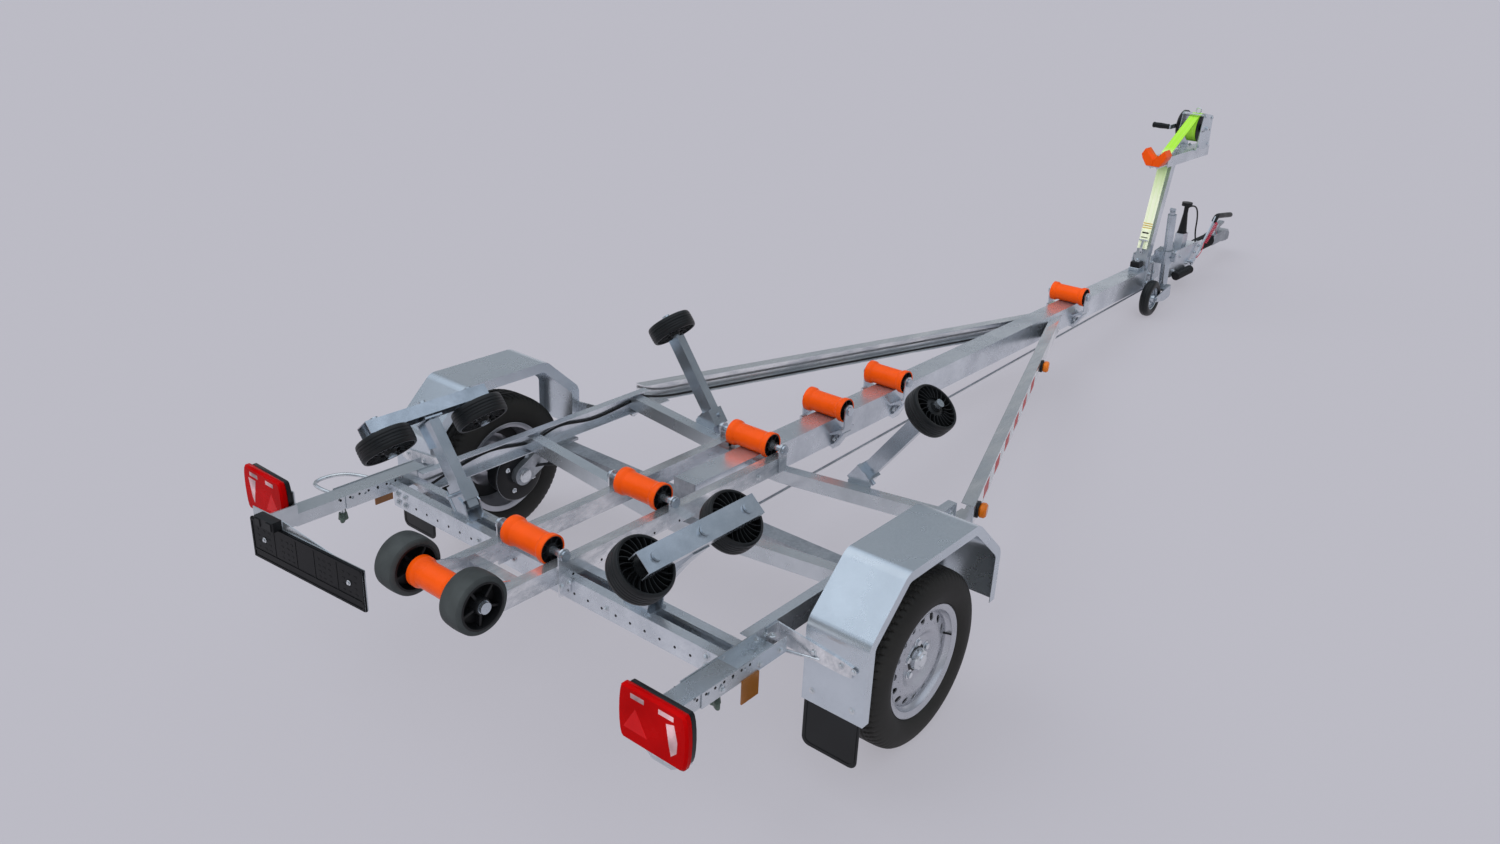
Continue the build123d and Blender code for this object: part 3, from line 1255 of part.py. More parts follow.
def handbrake():
    """Lever bar with its forward grip."""
    y0, y1 = LEVER_Y - LEVER_T / 2, LEVER_Y + LEVER_T / 2
    x, z = LEVER_PIVOT
    bar = side_plate(LEVER_SIDE, y0, y1) + rod((x, y0, z), (x, y1, z), LEVER_BOSS_R)
    bar -= rod((x, y0 - 1, z), (x, y1 + 1, z), LEVER_PIVOT_R + PIN_GAP)
    end, wrist, tip = [(px, LEVER_Y, pz) for px, pz in (LEVER_END, LEVER_WRIST, LEVER_TIP)]
    return bar + rod(end, wrist, GRIP_R - 1) + Pos(*wrist) * Sphere(GRIP_R) + rod(wrist, tip, GRIP_R)


def brake_spring():
    """Spring cylinder under the lever."""
    y = -keel_half - HOUSING_T - SPRING_R - PIN_GAP
    return rod((SPRING_X[0], y, SPRING_Z), (SPRING_X[1], y, SPRING_Z), SPRING_R)


def brake_rod():
    """Rod under the keel beam from the lever's gear back to the hanger on the axle."""
    tail_x, tail_z = BRAKE_ROD_TAIL
    nose_x, nose_z = BRAKE_ROD_NOSE
    y, half = BRAKE_ROD_Y, HANGER_HALF
    line = rod((tail_x, y, tail_z), (nose_x, y, nose_z), BRAKE_ROD_R)
    axle_hanger = block(tail_x - half, tail_x + half, y - half, y + half, tail_z - 10, axle_top - AXLE_SIZE)
    keel_hanger = block(nose_x - 10, nose_x, y - half, y + half, nose_z - 9, keel_bottom)
    return line + axle_hanger + keel_hanger


def light_plug():
    """Plug parked on its bracket: a tapering boot with a mushroom head."""
    upwards = (Align.CENTER, Align.CENTER, Align.MIN)
    z = PLUG_POST["top"]
    plug = None
    for height, low_r, top_r in PLUG_STACK:
        piece = Cylinder(low_r, height, align=upwards) if low_r == top_r else Cone(low_r, top_r, height, align=upwards)
        piece = Pos(PLUG_X, 0, z) * piece
        plug = piece if plug is None else plug + piece
        z += height
    return plug


add("coupling_housing", coupling_housing())
add("coupling_head", coupling_head())
add("handbrake_lever", handbrake())
add("brake_spring", brake_spring())
add("brake_rods", brake_rod())
add("light_plug", light_plug())

# ---------------------------------------------------------------- park pitch and origin
rise = math.atan2(jockey_z - TYRE_R, jockey_x)
drop = math.asin((JOCKEY_R - TYRE_R) / math.hypot(jockey_x, jockey_z - TYRE_R))
pitch = math.degrees(rise - drop)
parked = Pos(0, 0, TYRE_R) * Rot(0, pitch, 0) * Pos(0, 0, -TYRE_R)
placed = {name: parked * shape for name, shape in parts.items()}
boxes = [shape.bounding_box() for shape in placed.values()]
low_x = min(b.min.X for b in boxes)
high_x = max(b.max.X for b in boxes)
low_z = min(b.min.Z for b in boxes)
centre_x = (low_x + high_x) / 2
to_origin = Pos(-centre_x, 0, -low_z)

os.makedirs("parts", exist_ok=True)
for name, shape in placed.items():
    export_step(to_origin * shape, f"parts/{name}.step")
print(f"nodes {len(placed)}  pitch {pitch:.6f}  centre_x {centre_x:.4f}  low_z {low_z:.4f}  length {high_x - low_x:.1f}")
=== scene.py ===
# %% [markdown]
# A boat trailer is mostly galvanised steel with a few rubber and plastic parts on it. The CAD frame
# is loaded first, because it already stands in place. Everything below either gives one of its
# pieces a finish or adds the detail that a solid is too plain for.
# %% load the frame
import math
import bmesh
import bpy
import numpy as np
from mathutils import Matrix, Vector


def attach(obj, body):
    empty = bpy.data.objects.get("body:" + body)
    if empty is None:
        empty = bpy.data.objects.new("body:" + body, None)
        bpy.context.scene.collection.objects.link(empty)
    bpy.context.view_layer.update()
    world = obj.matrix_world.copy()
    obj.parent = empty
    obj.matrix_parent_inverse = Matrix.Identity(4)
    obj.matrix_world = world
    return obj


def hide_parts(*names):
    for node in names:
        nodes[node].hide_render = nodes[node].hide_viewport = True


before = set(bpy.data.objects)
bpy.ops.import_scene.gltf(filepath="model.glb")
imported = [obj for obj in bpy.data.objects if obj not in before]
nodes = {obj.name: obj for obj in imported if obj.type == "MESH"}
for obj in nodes.values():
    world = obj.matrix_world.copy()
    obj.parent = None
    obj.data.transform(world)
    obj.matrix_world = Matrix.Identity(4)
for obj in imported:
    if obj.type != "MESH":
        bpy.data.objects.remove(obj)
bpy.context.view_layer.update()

# %% [markdown]
# A view is set by where the eye stands, how it is turned and how wide it sees. The numbers could be
# nudged by eye with a track-to constraint, but a matrix built from a heading and a dip says the same
# thing exactly and can be checked. The eye is behind the right-hand lamp, above head height.
# %% camera
EYE = (-4.80083, -2.4846, 2.53509)
HEADING = math.radians(39.5928)
DIP = math.radians(26.2108)
ahead = Vector((math.cos(DIP) * math.cos(HEADING), math.cos(DIP) * math.sin(HEADING), -math.sin(DIP)))
right = Vector((math.sin(HEADING), -math.cos(HEADING), 0))
turn = Matrix((right, right.cross(ahead), -ahead)).transposed().to_4x4()
turn.translation = EYE
camera = bpy.data.objects.new("camera", bpy.data.cameras.new("camera"))
camera.data.lens = 28.10
camera.data.sensor_width = 36
camera.matrix_world = turn
bpy.context.collection.objects.link(camera)
bpy.context.scene.camera = camera
print("camera", [round(c, 3) for c in camera.location], "lens", camera.data.lens)

# %% [markdown]
# The trailer was drawn level in millimetres and then pitched nose-down onto its jockey wheel. New
# pieces are easiest to lay out on the level drawing too, so one function parks points in the same
# way as the CAD did: a turn about the axle's height, then a shift to the middle of the footprint.
# %% from level millimetres to parked metres
PITCH = math.radians(3.819923)
CENTRE_X = 2232.3974
TYRE_R = 294.5


def park(points):
    """x and z turn by the pitch about z = TYRE_R, x loses CENTRE_X, and all is divided by 1000."""
    p = np.asarray(points, float)
    x, y, z = p[..., 0], p[..., 1], p[..., 2] - TYRE_R
    c, s = math.cos(PITCH), math.sin(PITCH)
    return np.stack([x * c + z * s - CENTRE_X, y, z * c - x * s + TYRE_R], -1) / 1000


print("the axle's middle parks at", park([0, 0, TYRE_R]).round(4))

# %% [markdown]
# Almost every surface here is a function of two parameters, so a grid of points is the one thing
# that has to become a mesh. Blender's own primitives could be scaled and joined, but a grid keeps
# the shape in one formula, and it is quick, because numpy works out all the points together.
# %% grids into meshes
SIDES = (("left", 1), ("right", -1))
Y_AXIS = np.array([0, 1.0, 0])


def skin(grid, close_rows=False, close_columns=False):
    """Quads between neighbours in both directions; a closed direction also joins its last to its first."""
    n, m = grid.shape[:2]
    i = np.arange(n if close_rows else n - 1)[:, None]
    j = np.arange(m if close_columns else m - 1)[None, :]
    i2, j2 = (i + 1) % n, (j + 1) % m
    quads = np.stack([i * m + j, i2 * m + j, i2 * m + j2, i * m + j2], -1)
    return grid.reshape(-1, 3), quads.reshape(-1, 4)


def joined(skins):
    """Several skins as one: their points end to end, their faces counted on."""
    starts = np.cumsum([0] + [len(v) for v, _ in skins[:-1]])
    return np.concatenate([v for v, _ in skins]), np.concatenate([f + s for (_, f), s in zip(skins, starts)])


def piece(name, body, material, slot, *skins, replaces=(), sharp=35):
    """Make one closed mesh from skins drawn level, park it, weld it, turn its faces out, and let it ride."""
    points, faces = joined(skins)
    mesh = bpy.data.meshes.new(name)
    mesh.from_pydata(park(points).tolist(), [], faces.tolist())
    work = bmesh.new()
    work.from_mesh(mesh)
    bmesh.ops.remove_doubles(work, verts=work.verts, dist=2e-6)
    bmesh.ops.dissolve_degenerate(work, edges=work.edges, dist=1e-6)
    bmesh.ops.recalc_face_normals(work, faces=work.faces)
    work.to_mesh(mesh)
    work.free()
    mesh.shade_smooth()
    mesh.set_sharp_from_angle(angle=math.radians(sharp))
    mesh.materials.append(material)
    made = bpy.data.objects.new(name, mesh)
    bpy.context.collection.objects.link(made)
    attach(made, body)
    if replaces:
        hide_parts(*replaces)
    print(name, "faces", len(mesh.polygons))
    return made


print("sides", [label for label, _ in SIDES])

# %% [markdown]
# Three ways of carrying a profile make nearly all the parts: round an axis for wheels, straight for
# plates and bolt heads, and along a path for bars and cables. A lathe modifier or a curve bevel would
# do as well, but here the formula is in the open, and one small function serves dozens of parts.
# %% shapes from profiles


def across(axis):
    """Two unit directions square to an axis and to each other."""
    axis = np.asarray(axis, float) / np.linalg.norm(axis)
    helper = np.array([0, 0, 1.0]) if abs(axis[2]) < 0.9 else np.array([1.0, 0, 0])
    u = np.cross(helper, axis)
    u /= np.linalg.norm(u)
    return axis, u, np.cross(axis, u)


def turned(profile, centre, axis=(0, 1, 0), turns=64, closed=False):
    """Round an axis: point = centre + along x axis + radius x (u cos a + v sin a)."""
    axis, u, v = across(axis)
    a = np.linspace(0, 2 * np.pi, turns, endpoint=False)[:, None]
    ring = np.cos(a) * u + np.sin(a) * v
    p = np.asarray(profile, float)
    grid = np.asarray(centre, float) + p[:, None, :1] * axis + p[:, None, 1:] * ring
    return skin(grid, close_rows=closed, close_columns=True)


def slab(outline, origin, u, v, depth, bevel=0.0):
    """Outline on u and v, carried depth along u x v; both faces fan from the outline's middle."""
    u, v = np.asarray(u, float), np.asarray(v, float)
    n = np.cross(u, v)
    flat = np.asarray(outline, float)
    middle = flat.mean(0)
    reach = np.abs(flat - middle).max()
    small = middle + (flat - middle) * (1 - bevel / reach)
    fan = middle + 0 * flat
    rows = [(fan, 0), (small, 0), (flat, bevel), (flat, depth - bevel), (small, depth), (fan, depth)]
    grid = np.stack([np.asarray(origin, float) + f[:, :1] * u + f[:, 1:] * v + d * n for f, d in rows])
    return skin(grid, close_columns=True)


def brick(low, high, bevel=0.0):
    """Box between two level corners, as a slab on x and y."""
    (x0, y0, z0), (x1, y1, z1) = low, high
    return slab([(x0, y0), (x1, y0), (x1, y1), (x0, y1)], (0, 0, z0), (1, 0, 0), (0, 1, 0), z1 - z0, bevel)


def tube(path, radius, sides=10):
    """Circle carried along a path and squared to its direction, closed at both ends by its middle."""
    path = np.asarray(path, float)
    along = np.gradient(path, axis=0)
    along /= np.linalg.norm(along, axis=1)[:, None]
    helper = np.where(np.abs(along[:, 2:]) < 0.9, [[0, 0, 1.0]], [[1.0, 0, 0]])
    helper = np.broadcast_to(helper[len(path) // 2], along.shape)
    u = np.cross(helper, along)
    u /= np.linalg.norm(u, axis=1)[:, None]
    v = np.cross(along, u)
    a = np.linspace(0, 2 * np.pi, sides, endpoint=False)[None, :, None]
    rings = path[:, None] + radius * (np.cos(a) * u[:, None] + np.sin(a) * v[:, None])
    ends = [np.broadcast_to(path[i], (1, sides, 3)) for i in (0, -1)]
    return skin(np.concatenate([ends[0], rings, ends[1]]), close_columns=True)


def smooth_path(points, count=48):
    """Curve through the points: each stretch is the cubic that leaves and arrives along its neighbours."""
    p = np.asarray(points, float)
    slope = np.gradient(p, axis=0)
    t = np.linspace(0, len(p) - 1, count)
    i = np.minimum(t.astype(int), len(p) - 2)
    s = (t - i)[:, None]
    h = 2 * s**3 - 3 * s**2
    return (h + 1) * p[i] - h * p[i + 1] + (s**3 - 2 * s**2 + s) * slope[i] + (s**3 - s**2) * slope[i + 1]


def spun(part, centre, axis, count, start=0.0):
    """Copies of a skin turned evenly: the part across the axis turns, the part along it stays."""
    axis = np.asarray(axis, float) / np.linalg.norm(axis)
    points, faces = part
    p = points - centre
    a = (start + np.arange(count) * 2 * np.pi / count)[:, None, None]
    along = (p @ axis)[:, None] * axis
    flat = p - along
    copies = centre + along + flat * np.cos(a) + np.cross(axis, flat) * np.sin(a)
    shift = (np.arange(count) * len(points))[:, None, None]
    return copies.reshape(-1, 3), (faces + shift).reshape(-1, 4)


print("helpers ready: turned, slab, brick, tube, spun")

# %% [markdown]
# A studio floor that runs past the horizon gives a plain ground with no seam, and the trailer's
# shadow lies on it. The light is soft: a sky with a pale horizon, a dim wall above it and a broad cool
# light overhead, so that bent sheet shows its folds, and two broad suns whose wide angle blurs the
# shadows. Area lamps would give pools on such a large floor, while suns light it evenly.
# %% floor and light
PALE = (0.509, 0.497, 0.546)
FLOOR_REACH = 60.0
FLOOR_GLOW = 0.7
span = FLOOR_REACH * np.array([[-1, -1, 0], [1, -1, 0], [1, 1, 0], [-1, 1, 0]])
floor_mesh = bpy.data.meshes.new("floor")
floor_mesh.from_pydata(span.tolist(), [], [(0, 1, 2, 3)])
floor = bpy.data.objects.new("floor", floor_mesh)
bpy.context.collection.objects.link(floor)
floor_paint = bpy.data.materials.new("studio floor")
floor_paint.use_nodes = True
matt = floor_paint.node_tree.nodes["Principled BSDF"]
matt.inputs["Base Color"].default_value = (*PALE, 1)
matt.inputs["Roughness"].default_value = 1.0
matt.inputs["Specular IOR Level"].default_value = 0.0
# the eye sees mostly the floor's plain colour, so the shadow stays soft, and metal mirrors nothing else
tree = floor_paint.node_tree
glow = tree.nodes.new("ShaderNodeEmission")
glow.inputs["Color"].default_value = (*PALE, 1)
seen = tree.nodes.new("ShaderNodeLightPath")
either = tree.nodes.new("ShaderNodeMath")
either.operation = "MULTIPLY_ADD"
either.inputs[1].default_value = FLOOR_GLOW
blend = tree.nodes.new("ShaderNodeMixShader")
tree.links.new(seen.outputs["Is Camera Ray"], either.inputs[0])
tree.links.new(seen.outputs["Is Glossy Ray"], either.inputs[2])
tree.links.new(either.outputs[0], blend.inputs["Fac"])
tree.links.new(matt.outputs["BSDF"], blend.inputs[1])
tree.links.new(glow.outputs["Emission"], blend.inputs[2])
tree.links.new(blend.outputs["Shader"], tree.nodes["Material Output"].inputs["Surface"])
floor_mesh.materials.append(floor_paint)

world = bpy.data.worlds.new("studio")
bpy.context.scene.world = world
world.use_nodes = True
sky = world.node_tree
back = sky.nodes["Background"]
direction = sky.nodes.new("ShaderNodeTexCoord")
parts = sky.nodes.new("ShaderNodeSeparateXYZ")
height = sky.nodes.new("ShaderNodeValToRGB")
eye_ray = sky.nodes.new("ShaderNodeLightPath")
choice = sky.nodes.new("ShaderNodeMix")
choice.data_type = "RGBA"
# by height: a pale horizon, a dim wall above it, and a broad cool light overhead
bands = [
    (0.0, (0.44, 0.44, 0.46)), (0.16, (0.36, 0.37, 0.39)), (0.30, (0.13, 0.14, 0.15)),
    (0.54, (0.13, 0.14, 0.15)), (0.66, (0.38, 0.44, 0.52)), (0.84, (0.52, 0.57, 0.63)),
    (1.0, (0.56, 0.59, 0.63)),
]
while len(height.color_ramp.elements) < len(bands):
    height.color_ramp.elements.new(0.5)
for element, (place, colour) in zip(height.color_ramp.elements, bands):
    element.position = place
    element.color = (*colour, 1)
SKY_POWER = 1.5
back.inputs["Strength"].default_value = SKY_POWER
sky.links.new(direction.outputs["Generated"], parts.inputs[0])
sky.links.new(parts.outputs["Z"], height.inputs["Fac"])
sky.links.new(height.outputs["Color"], choice.inputs["A"])
sky.links.new(eye_ray.outputs["Is Camera Ray"], choice.inputs["Factor"])
choice.inputs["B"].default_value = (*(share / SKY_POWER for share in PALE), 1)
sky.links.new(choice.outputs["Result"], back.inputs["Color"])

suns = (("key", 0.95, 50, (-3.0, 5.0, 7.0)), ("fill", 1.0, 60, (-6.0, -5.0, 5.0)))
for name, strength, spread, point in suns:
    lamp = bpy.data.objects.new(name, bpy.data.lights.new(name, "SUN"))
    lamp.data.energy = strength
    lamp.data.angle = math.radians(spread)
    lamp.visible_glossy = False
    lamp.rotation_euler = (-Vector(point)).to_track_quat("-Z", "Y").to_euler()
    bpy.context.collection.objects.link(lamp)
bpy.context.scene.view_settings.view_transform = "Standard"
print("floor and light set")

# %% [markdown]
# A finish is a Principled shader whose colour, roughness and bump follow patterns in the object's own
# metres, so a pattern has the same size on a long beam and on a bolt. Image textures would need
# unwrapping; patterns don't, and they stay put however the part is moved.
# %% the two kinds of finish


def plain(name, colour, rough, metal=0.0, **sockets):
    """A Principled material with its even values set on the shader's own sockets."""
    mat = bpy.data.materials.new(name)
    mat.use_nodes = True
    shader = mat.node_tree.nodes["Principled BSDF"]
    even = {"Base Color": (*colour, 1), "Roughness": rough, "Metallic": metal}
    even.update({key.replace("_", " "): value for key, value in sockets.items()})
    for key, value in even.items():
        shader.inputs[key].default_value = value
    return mat


def pattern(mat, kind, size, stretch=(1, 1, 1), **values):
    """A texture node on object coordinates, scaled to so many cells a metre and stretched."""
    tree = mat.node_tree
    coords = tree.nodes.new("ShaderNodeTexCoord")
    mapping = tree.nodes.new("ShaderNodeMapping")
    mapping.inputs["Scale"].default_value = stretch
    made = tree.nodes.new(kind)
    made.inputs["Scale"].default_value = size
    for key, value in values.items():
        made.inputs[key].default_value = value
    tree.links.new(coords.outputs["Object"], mapping.inputs["Vector"])
    tree.links.new(mapping.outputs["Vector"], made.inputs["Vector"])
    return made


def ranged(mat, source, low, high, start=0.0, end=1.0):
    """A value taken from start..end to low..high."""
    node = mat.node_tree.nodes.new("ShaderNodeMapRange")
    for key, value in (("From Min", start), ("From Max", end), ("To Min", low), ("To Max", high)):
        node.inputs[key].default_value = value
    mat.node_tree.links.new(source, node.inputs["Value"])
    return node.outputs["Result"]


def tinted(mat, source, stops):
    """A value run through a ramp of (position, colour) stops."""
    node = mat.node_tree.nodes.new("ShaderNodeValToRGB")
    ramp = node.color_ramp
    while len(ramp.elements) < len(stops):
        ramp.elements.new(0.5)
    for element, (place, colour) in zip(ramp.elements, stops):
        element.position = place
        element.color = (*colour, 1)
    mat.node_tree.links.new(source, node.inputs["Fac"])
    return node.outputs["Color"]


def dented(mat, source, strength, distance):
    """Bump from a value, on the shader's normal."""
    node = mat.node_tree.nodes.new("ShaderNodeBump")
    node.inputs["Strength"].default_value = strength
    node.inputs["Distance"].default_value = distance
    mat.node_tree.links.new(source, node.inputs["Height"])
    mat.node_tree.links.new(node.outputs["Normal"], mat.node_tree.nodes["Principled BSDF"].inputs["Normal"])


def feed(mat, source, socket):
    """Wire an output to one of the shader's sockets."""
    mat.node_tree.links.new(source, mat.node_tree.nodes["Principled BSDF"].inputs[socket])


def zinc(name, dark, light, rough, spangle=70, cloud=5, share=0.45, metal=0.85, stretch=(1, 1, 1), bump=0.08):
    """Zinc coat: crystals that each have their own shade, under clouds of brighter and duller metal."""
    mat = plain(name, light, rough[0], metal)
    crystals = pattern(mat, "ShaderNodeTexVoronoi", spangle, stretch)
    clouds = pattern(mat, "ShaderNodeTexNoise", cloud, stretch, Detail=5.0, Roughness=0.62)
    single = mat.node_tree.nodes.new("ShaderNodeSeparateColor")
    mat.node_tree.links.new(crystals.outputs["Color"], single.inputs["Color"])
    blend = mat.node_tree.nodes.new("ShaderNodeMix")
    blend.inputs["Factor"].default_value = share
    mat.node_tree.links.new(ranged(mat, clouds.outputs["Fac"], 0, 1, 0.3, 0.7), blend.inputs["A"])
    mat.node_tree.links.new(single.outputs["Red"], blend.inputs["B"])
    shade = blend.outputs["Result"]
    feed(mat, tinted(mat, shade, [(0.1, dark), (0.9, light)]), "Base Color")
    feed(mat, ranged(mat, shade, rough[1], rough[0]), "Roughness")
    dented(mat, clouds.outputs["Fac"], bump, 0.002)
    return mat


def moulded(name, colour, rough, grain=400, depth=0.15, vary=0.25, coat=0.0, sheen=0.3):
    """Rubber or plastic: a fine grain in the surface and a slow drift in its shade and gloss."""
    mat = plain(name, colour, rough, Coat_Weight=coat, Coat_Roughness=0.25, Specular_IOR_Level=sheen)
    fine = pattern(mat, "ShaderNodeTexNoise", grain, Detail=3.0)
    slow = pattern(mat, "ShaderNodeTexNoise", 9, Detail=4.0)
    worn = [min(1.0, c * (1 + vary) + 0.001) for c in colour]
    base = [c * (1 - vary) for c in colour]
    feed(mat, tinted(mat, slow.outputs["Fac"], [(0.35, base), (0.7, worn)]), "Base Color")
    feed(mat, ranged(mat, slow.outputs["Fac"], rough - 0.08, rough + 0.1, 0.3, 0.7), "Roughness")
    dented(mat, fine.outputs["Fac"], depth, 0.0006)
    return mat


print("finishes ready: zinc and moulded")

# %% [markdown]
# Hot-dip galvanising leaves a blue-grey coat with crystals a centimetre or two across and paler runs
# where the zinc drained. The thick beams are calm, the ladder rails are strongly streaked, and the
# plated fasteners are brighter and finer. One recipe with other numbers makes them all.
# %% the metals
ZINC_BEAM = zinc(
    "galvanised beam", (0.54, 0.58, 0.63), (0.84, 0.88, 0.93), (0.20, 0.34),
    spangle=90, cloud=3, share=0.08, bump=0.02,
)
# the struts are glossier than the beams, and their near-white colour is painted light on the channel's shaded
# inside
ZINC_STRUT_PAINTED_LIGHT = zinc(
    "glossy strut with painted light", (0.66, 0.70, 0.74), (0.97, 0.98, 1.0), (0.10, 0.26),
    spangle=60, cloud=14, share=0.1, bump=0.03, stretch=(0.25, 1, 1),
)
ZINC_ARM = zinc(
    "smooth galvanised", (0.52, 0.56, 0.59), (0.72, 0.76, 0.80), (0.22, 0.34),
    spangle=120, cloud=3, share=0.06, bump=0.015,
)
ZINC_DULL = zinc(
    "dull galvanised", (0.28, 0.30, 0.33), (0.52, 0.55, 0.58), (0.34, 0.50),
    spangle=110, share=0.25,
)
ZINC_RUNS = zinc(
    "drained galvanised", (0.40, 0.44, 0.48), (0.98, 0.98, 1.0), (0.12, 0.36),
    spangle=130, cloud=9, share=0.14, bump=0.12, stretch=(0.4, 1, 1),
)
ZINC_SHEET = zinc(
    "bright sheet", (0.58, 0.635, 0.69), (0.72, 0.78, 0.84), (0.22, 0.32),
    spangle=220, cloud=2, share=0.06, bump=0.0,
)
ZINC_PLATED = zinc(
    "plated fastener", (0.40, 0.45, 0.50), (0.62, 0.67, 0.73), (0.14, 0.26),
    spangle=500, cloud=7, share=0.14, bump=0.0,
)
ZINC_BOLT = zinc(
    "bright bolt", (0.60, 0.63, 0.66), (0.82, 0.85, 0.88), (0.14, 0.24),
    spangle=700, cloud=20, share=0.2, bump=0.0,
)
WHEEL_SILVER = zinc(
    "wheel lacquer", (0.42, 0.43, 0.47), (0.56, 0.565, 0.61), (0.20, 0.30),
    spangle=900, cloud=5, share=0.3, metal=0.5, bump=0.0,
)
print("metals", ZINC_BEAM.name, ZINC_SHEET.name)

# %% [markdown]
# The soft parts are told apart by gloss as much as by colour: road tyres are a brownish matt black,
# the small wheels a shinier black, the end wheels are scuffed grey, and the keel rollers are a glossy
# orange that light runs along. The lamps are clear plastic over colour, which a coat imitates.
# %% rubber, plastic and lenses
TYRE_RUBBER = moulded("road tyre", (0.019, 0.018, 0.016), 0.66, grain=700, vary=0.3, sheen=0.35)
HARD_RUBBER = moulded("black wheel", (0.007, 0.008, 0.009), 0.40, grain=500, vary=0.3, sheen=0.35)
SCUFFED = moulded("scuffed rubber", (0.046, 0.052, 0.052), 0.66, grain=900, depth=0.3, vary=0.35)
ORANGE = moulded("orange roller", (0.90, 0.092, 0.0015), 0.30, grain=60, depth=0.03, vary=0.05, sheen=0.16)
BLACK_PLASTIC = moulded("black plastic", (0.006, 0.0065, 0.0075), 0.38, grain=300, vary=0.2, sheen=0.30)
RED_LENS = moulded("red lens", (0.46, 0.0003, 0.0008), 0.20, grain=30, depth=0.05, vary=0.12, sheen=0.03)
RED_RIM = moulded("bright red rim", (0.62, 0.003, 0.005), 0.20, grain=160, depth=0.4, vary=0.10, sheen=0.12)
WHITE_OPTIC_AND_HIGHLIGHT = moulded("white optic and painted highlight", (0.60, 0.36, 0.37), 0.22, grain=110, depth=0.8, vary=0.6, coat=0.3)
BOARD_BLACK = moulded("plate carrier black", (0.0035, 0.0040, 0.0050), 0.30, grain=300, vary=0.2, sheen=0.16)
AMBER = moulded("amber reflector", (0.30, 0.105, 0.012), 0.22, grain=220, depth=0.3, vary=0.15, coat=0.6)
MARKER_LENS = moulded(
    "orange marker", (0.72, 0.17, 0.008), 0.2, grain=120, depth=0.4, vary=0.25, coat=0.2, sheen=0.2,
)
TAPE_RED = moulded("red tape", (0.55, 0.02, 0.02), 0.4, grain=400, depth=0.1, vary=0.08)
TAPE_WHITE = moulded("white tape", (0.75, 0.75, 0.76), 0.4, grain=400, depth=0.1, vary=0.05)
GREEN_KNOB = moulded("knob", (0.10, 0.135, 0.11), 0.4, grain=300, vary=0.25)
COIL_PINK = moulded("breakaway cable", (0.60, 0.05, 0.09), 0.35, grain=300, vary=0.1)
CABLE_BLACK = moulded("black cable", (0.012, 0.012, 0.013), 0.45, grain=800, vary=0.2)


def woven(name, painted_light_pale, vivid, stripe, fold_x):
    """Webbing: vivid ahead of the fold, painted light on the run behind it, and two coloured lines along it.
    """
    mat = plain(name, painted_light_pale, 0.75)
    tree = mat.node_tree
    coords = tree.nodes.new("ShaderNodeTexCoord")
    axes = tree.nodes.new("ShaderNodeSeparateXYZ")
    tree.links.new(coords.outputs["Object"], axes.inputs[0])
    painted_light_fade = ranged(mat, axes.outputs["X"], 0, 1, fold_x - 0.03, fold_x + 0.10)
    base = tinted(mat, painted_light_fade, [(0, painted_light_pale), (1, vivid)])
    off = tree.nodes.new("ShaderNodeMath")
    off.operation = "ABSOLUTE"
    tree.links.new(axes.outputs["Y"], off.inputs[0])
    none, some = (0, 0, 0), (0.35, 0.35, 0.35)
    from_middle = ranged(mat, off.outputs[0], 0, 1, 0.0, 0.03)
    line = tinted(mat, from_middle, [(0.36, none), (0.40, some), (0.48, some), (0.52, none)])
    both = tree.nodes.new("ShaderNodeMix")
    both.data_type = "RGBA"
    tree.links.new(line, both.inputs["Factor"])
    tree.links.new(base, both.inputs["A"])
    both.inputs["B"].default_value = (*stripe, 1)
    feed(mat, both.outputs["Result"], "Base Color")
    weave = pattern(mat, "ShaderNodeTexWave", 260, (0.2, 1, 1))
    dented(mat, weave.outputs["Fac"], 0.3, 0.0004)
    return mat


# behind FOLD_X the strap runs down the post, and its pale colour there is painted light
FOLD_X = 1.98
WEBBING_WITH_PAINTED_LIGHT = woven("winch webbing with painted light", (0.93, 0.97, 0.70), (0.40, 0.80, 0.045), (0.60, 0.84, 0.24), FOLD_X)
print("soft finishes", TYRE_RUBBER.name, ORANGE.name)

# %% [markdown]
# Each CAD piece keeps its own mesh and only gets its finish here. Pieces that need more than a
# finish, such as the wheels, are replaced further on. One table keeps the whole object in view.
# %% finishes for the CAD pieces
FINISHES = {
    ZINC_BEAM: "keel_beam side_rails rear_beam winch_arm winch_post coupling_housing roller_stirrups",
    ZINC_STRUT_PAINTED_LIGHT: "draw_struts",
    ZINC_ARM: "lamp_brackets light_arms plate_holder cross_members",
    ZINC_DULL: "brake_rods axle coupling_head",
    ZINC_RUNS: "roller_ladder mudguard_stays",
    ZINC_SHEET: "mudguards winch_frame",
    ZINC_PLATED: (
        "bilge_posts post_clamps rocker_left rocker_right roller_pins winch_crank jockey_clamp jockey_tube "
        "jockey_inner jockey_fork handbrake_lever"
    ),
    WHEEL_SILVER: "rim_left rim_right",
    BLACK_PLASTIC: "light_plug winch_cover",
    AMBER: "arm_reflectors",
    WEBBING_WITH_PAINTED_LIGHT: "winch_strap",
}
for material, names in FINISHES.items():
    for name in names.split():
        nodes[name].data.materials.clear()
        nodes[name].data.materials.append(material)
print("CAD pieces finished", sum(len(names.split()) for names in FINISHES.values()))

# %% [markdown]
# A road tyre's tread is a turned profile with blocks cut into it. Modelling one block and repeating
# it is usual, but the tread is also just a height over the angle and the width: three grooves run
# round it, and slanting sipes cross the ribs. The height is taken off the radius on a fine grid.
# %% road tyres
TYRE_W = 178.0
WHEEL_Y = 981.0
SIPES = 72
SIPE_SLANT = 0.10
GROOVES_AT = (0, 27)
GROOVE_DEPTH, SIPE_DEPTH, SHOULDER_DEPTH = 7.0, 4.6, 3.2


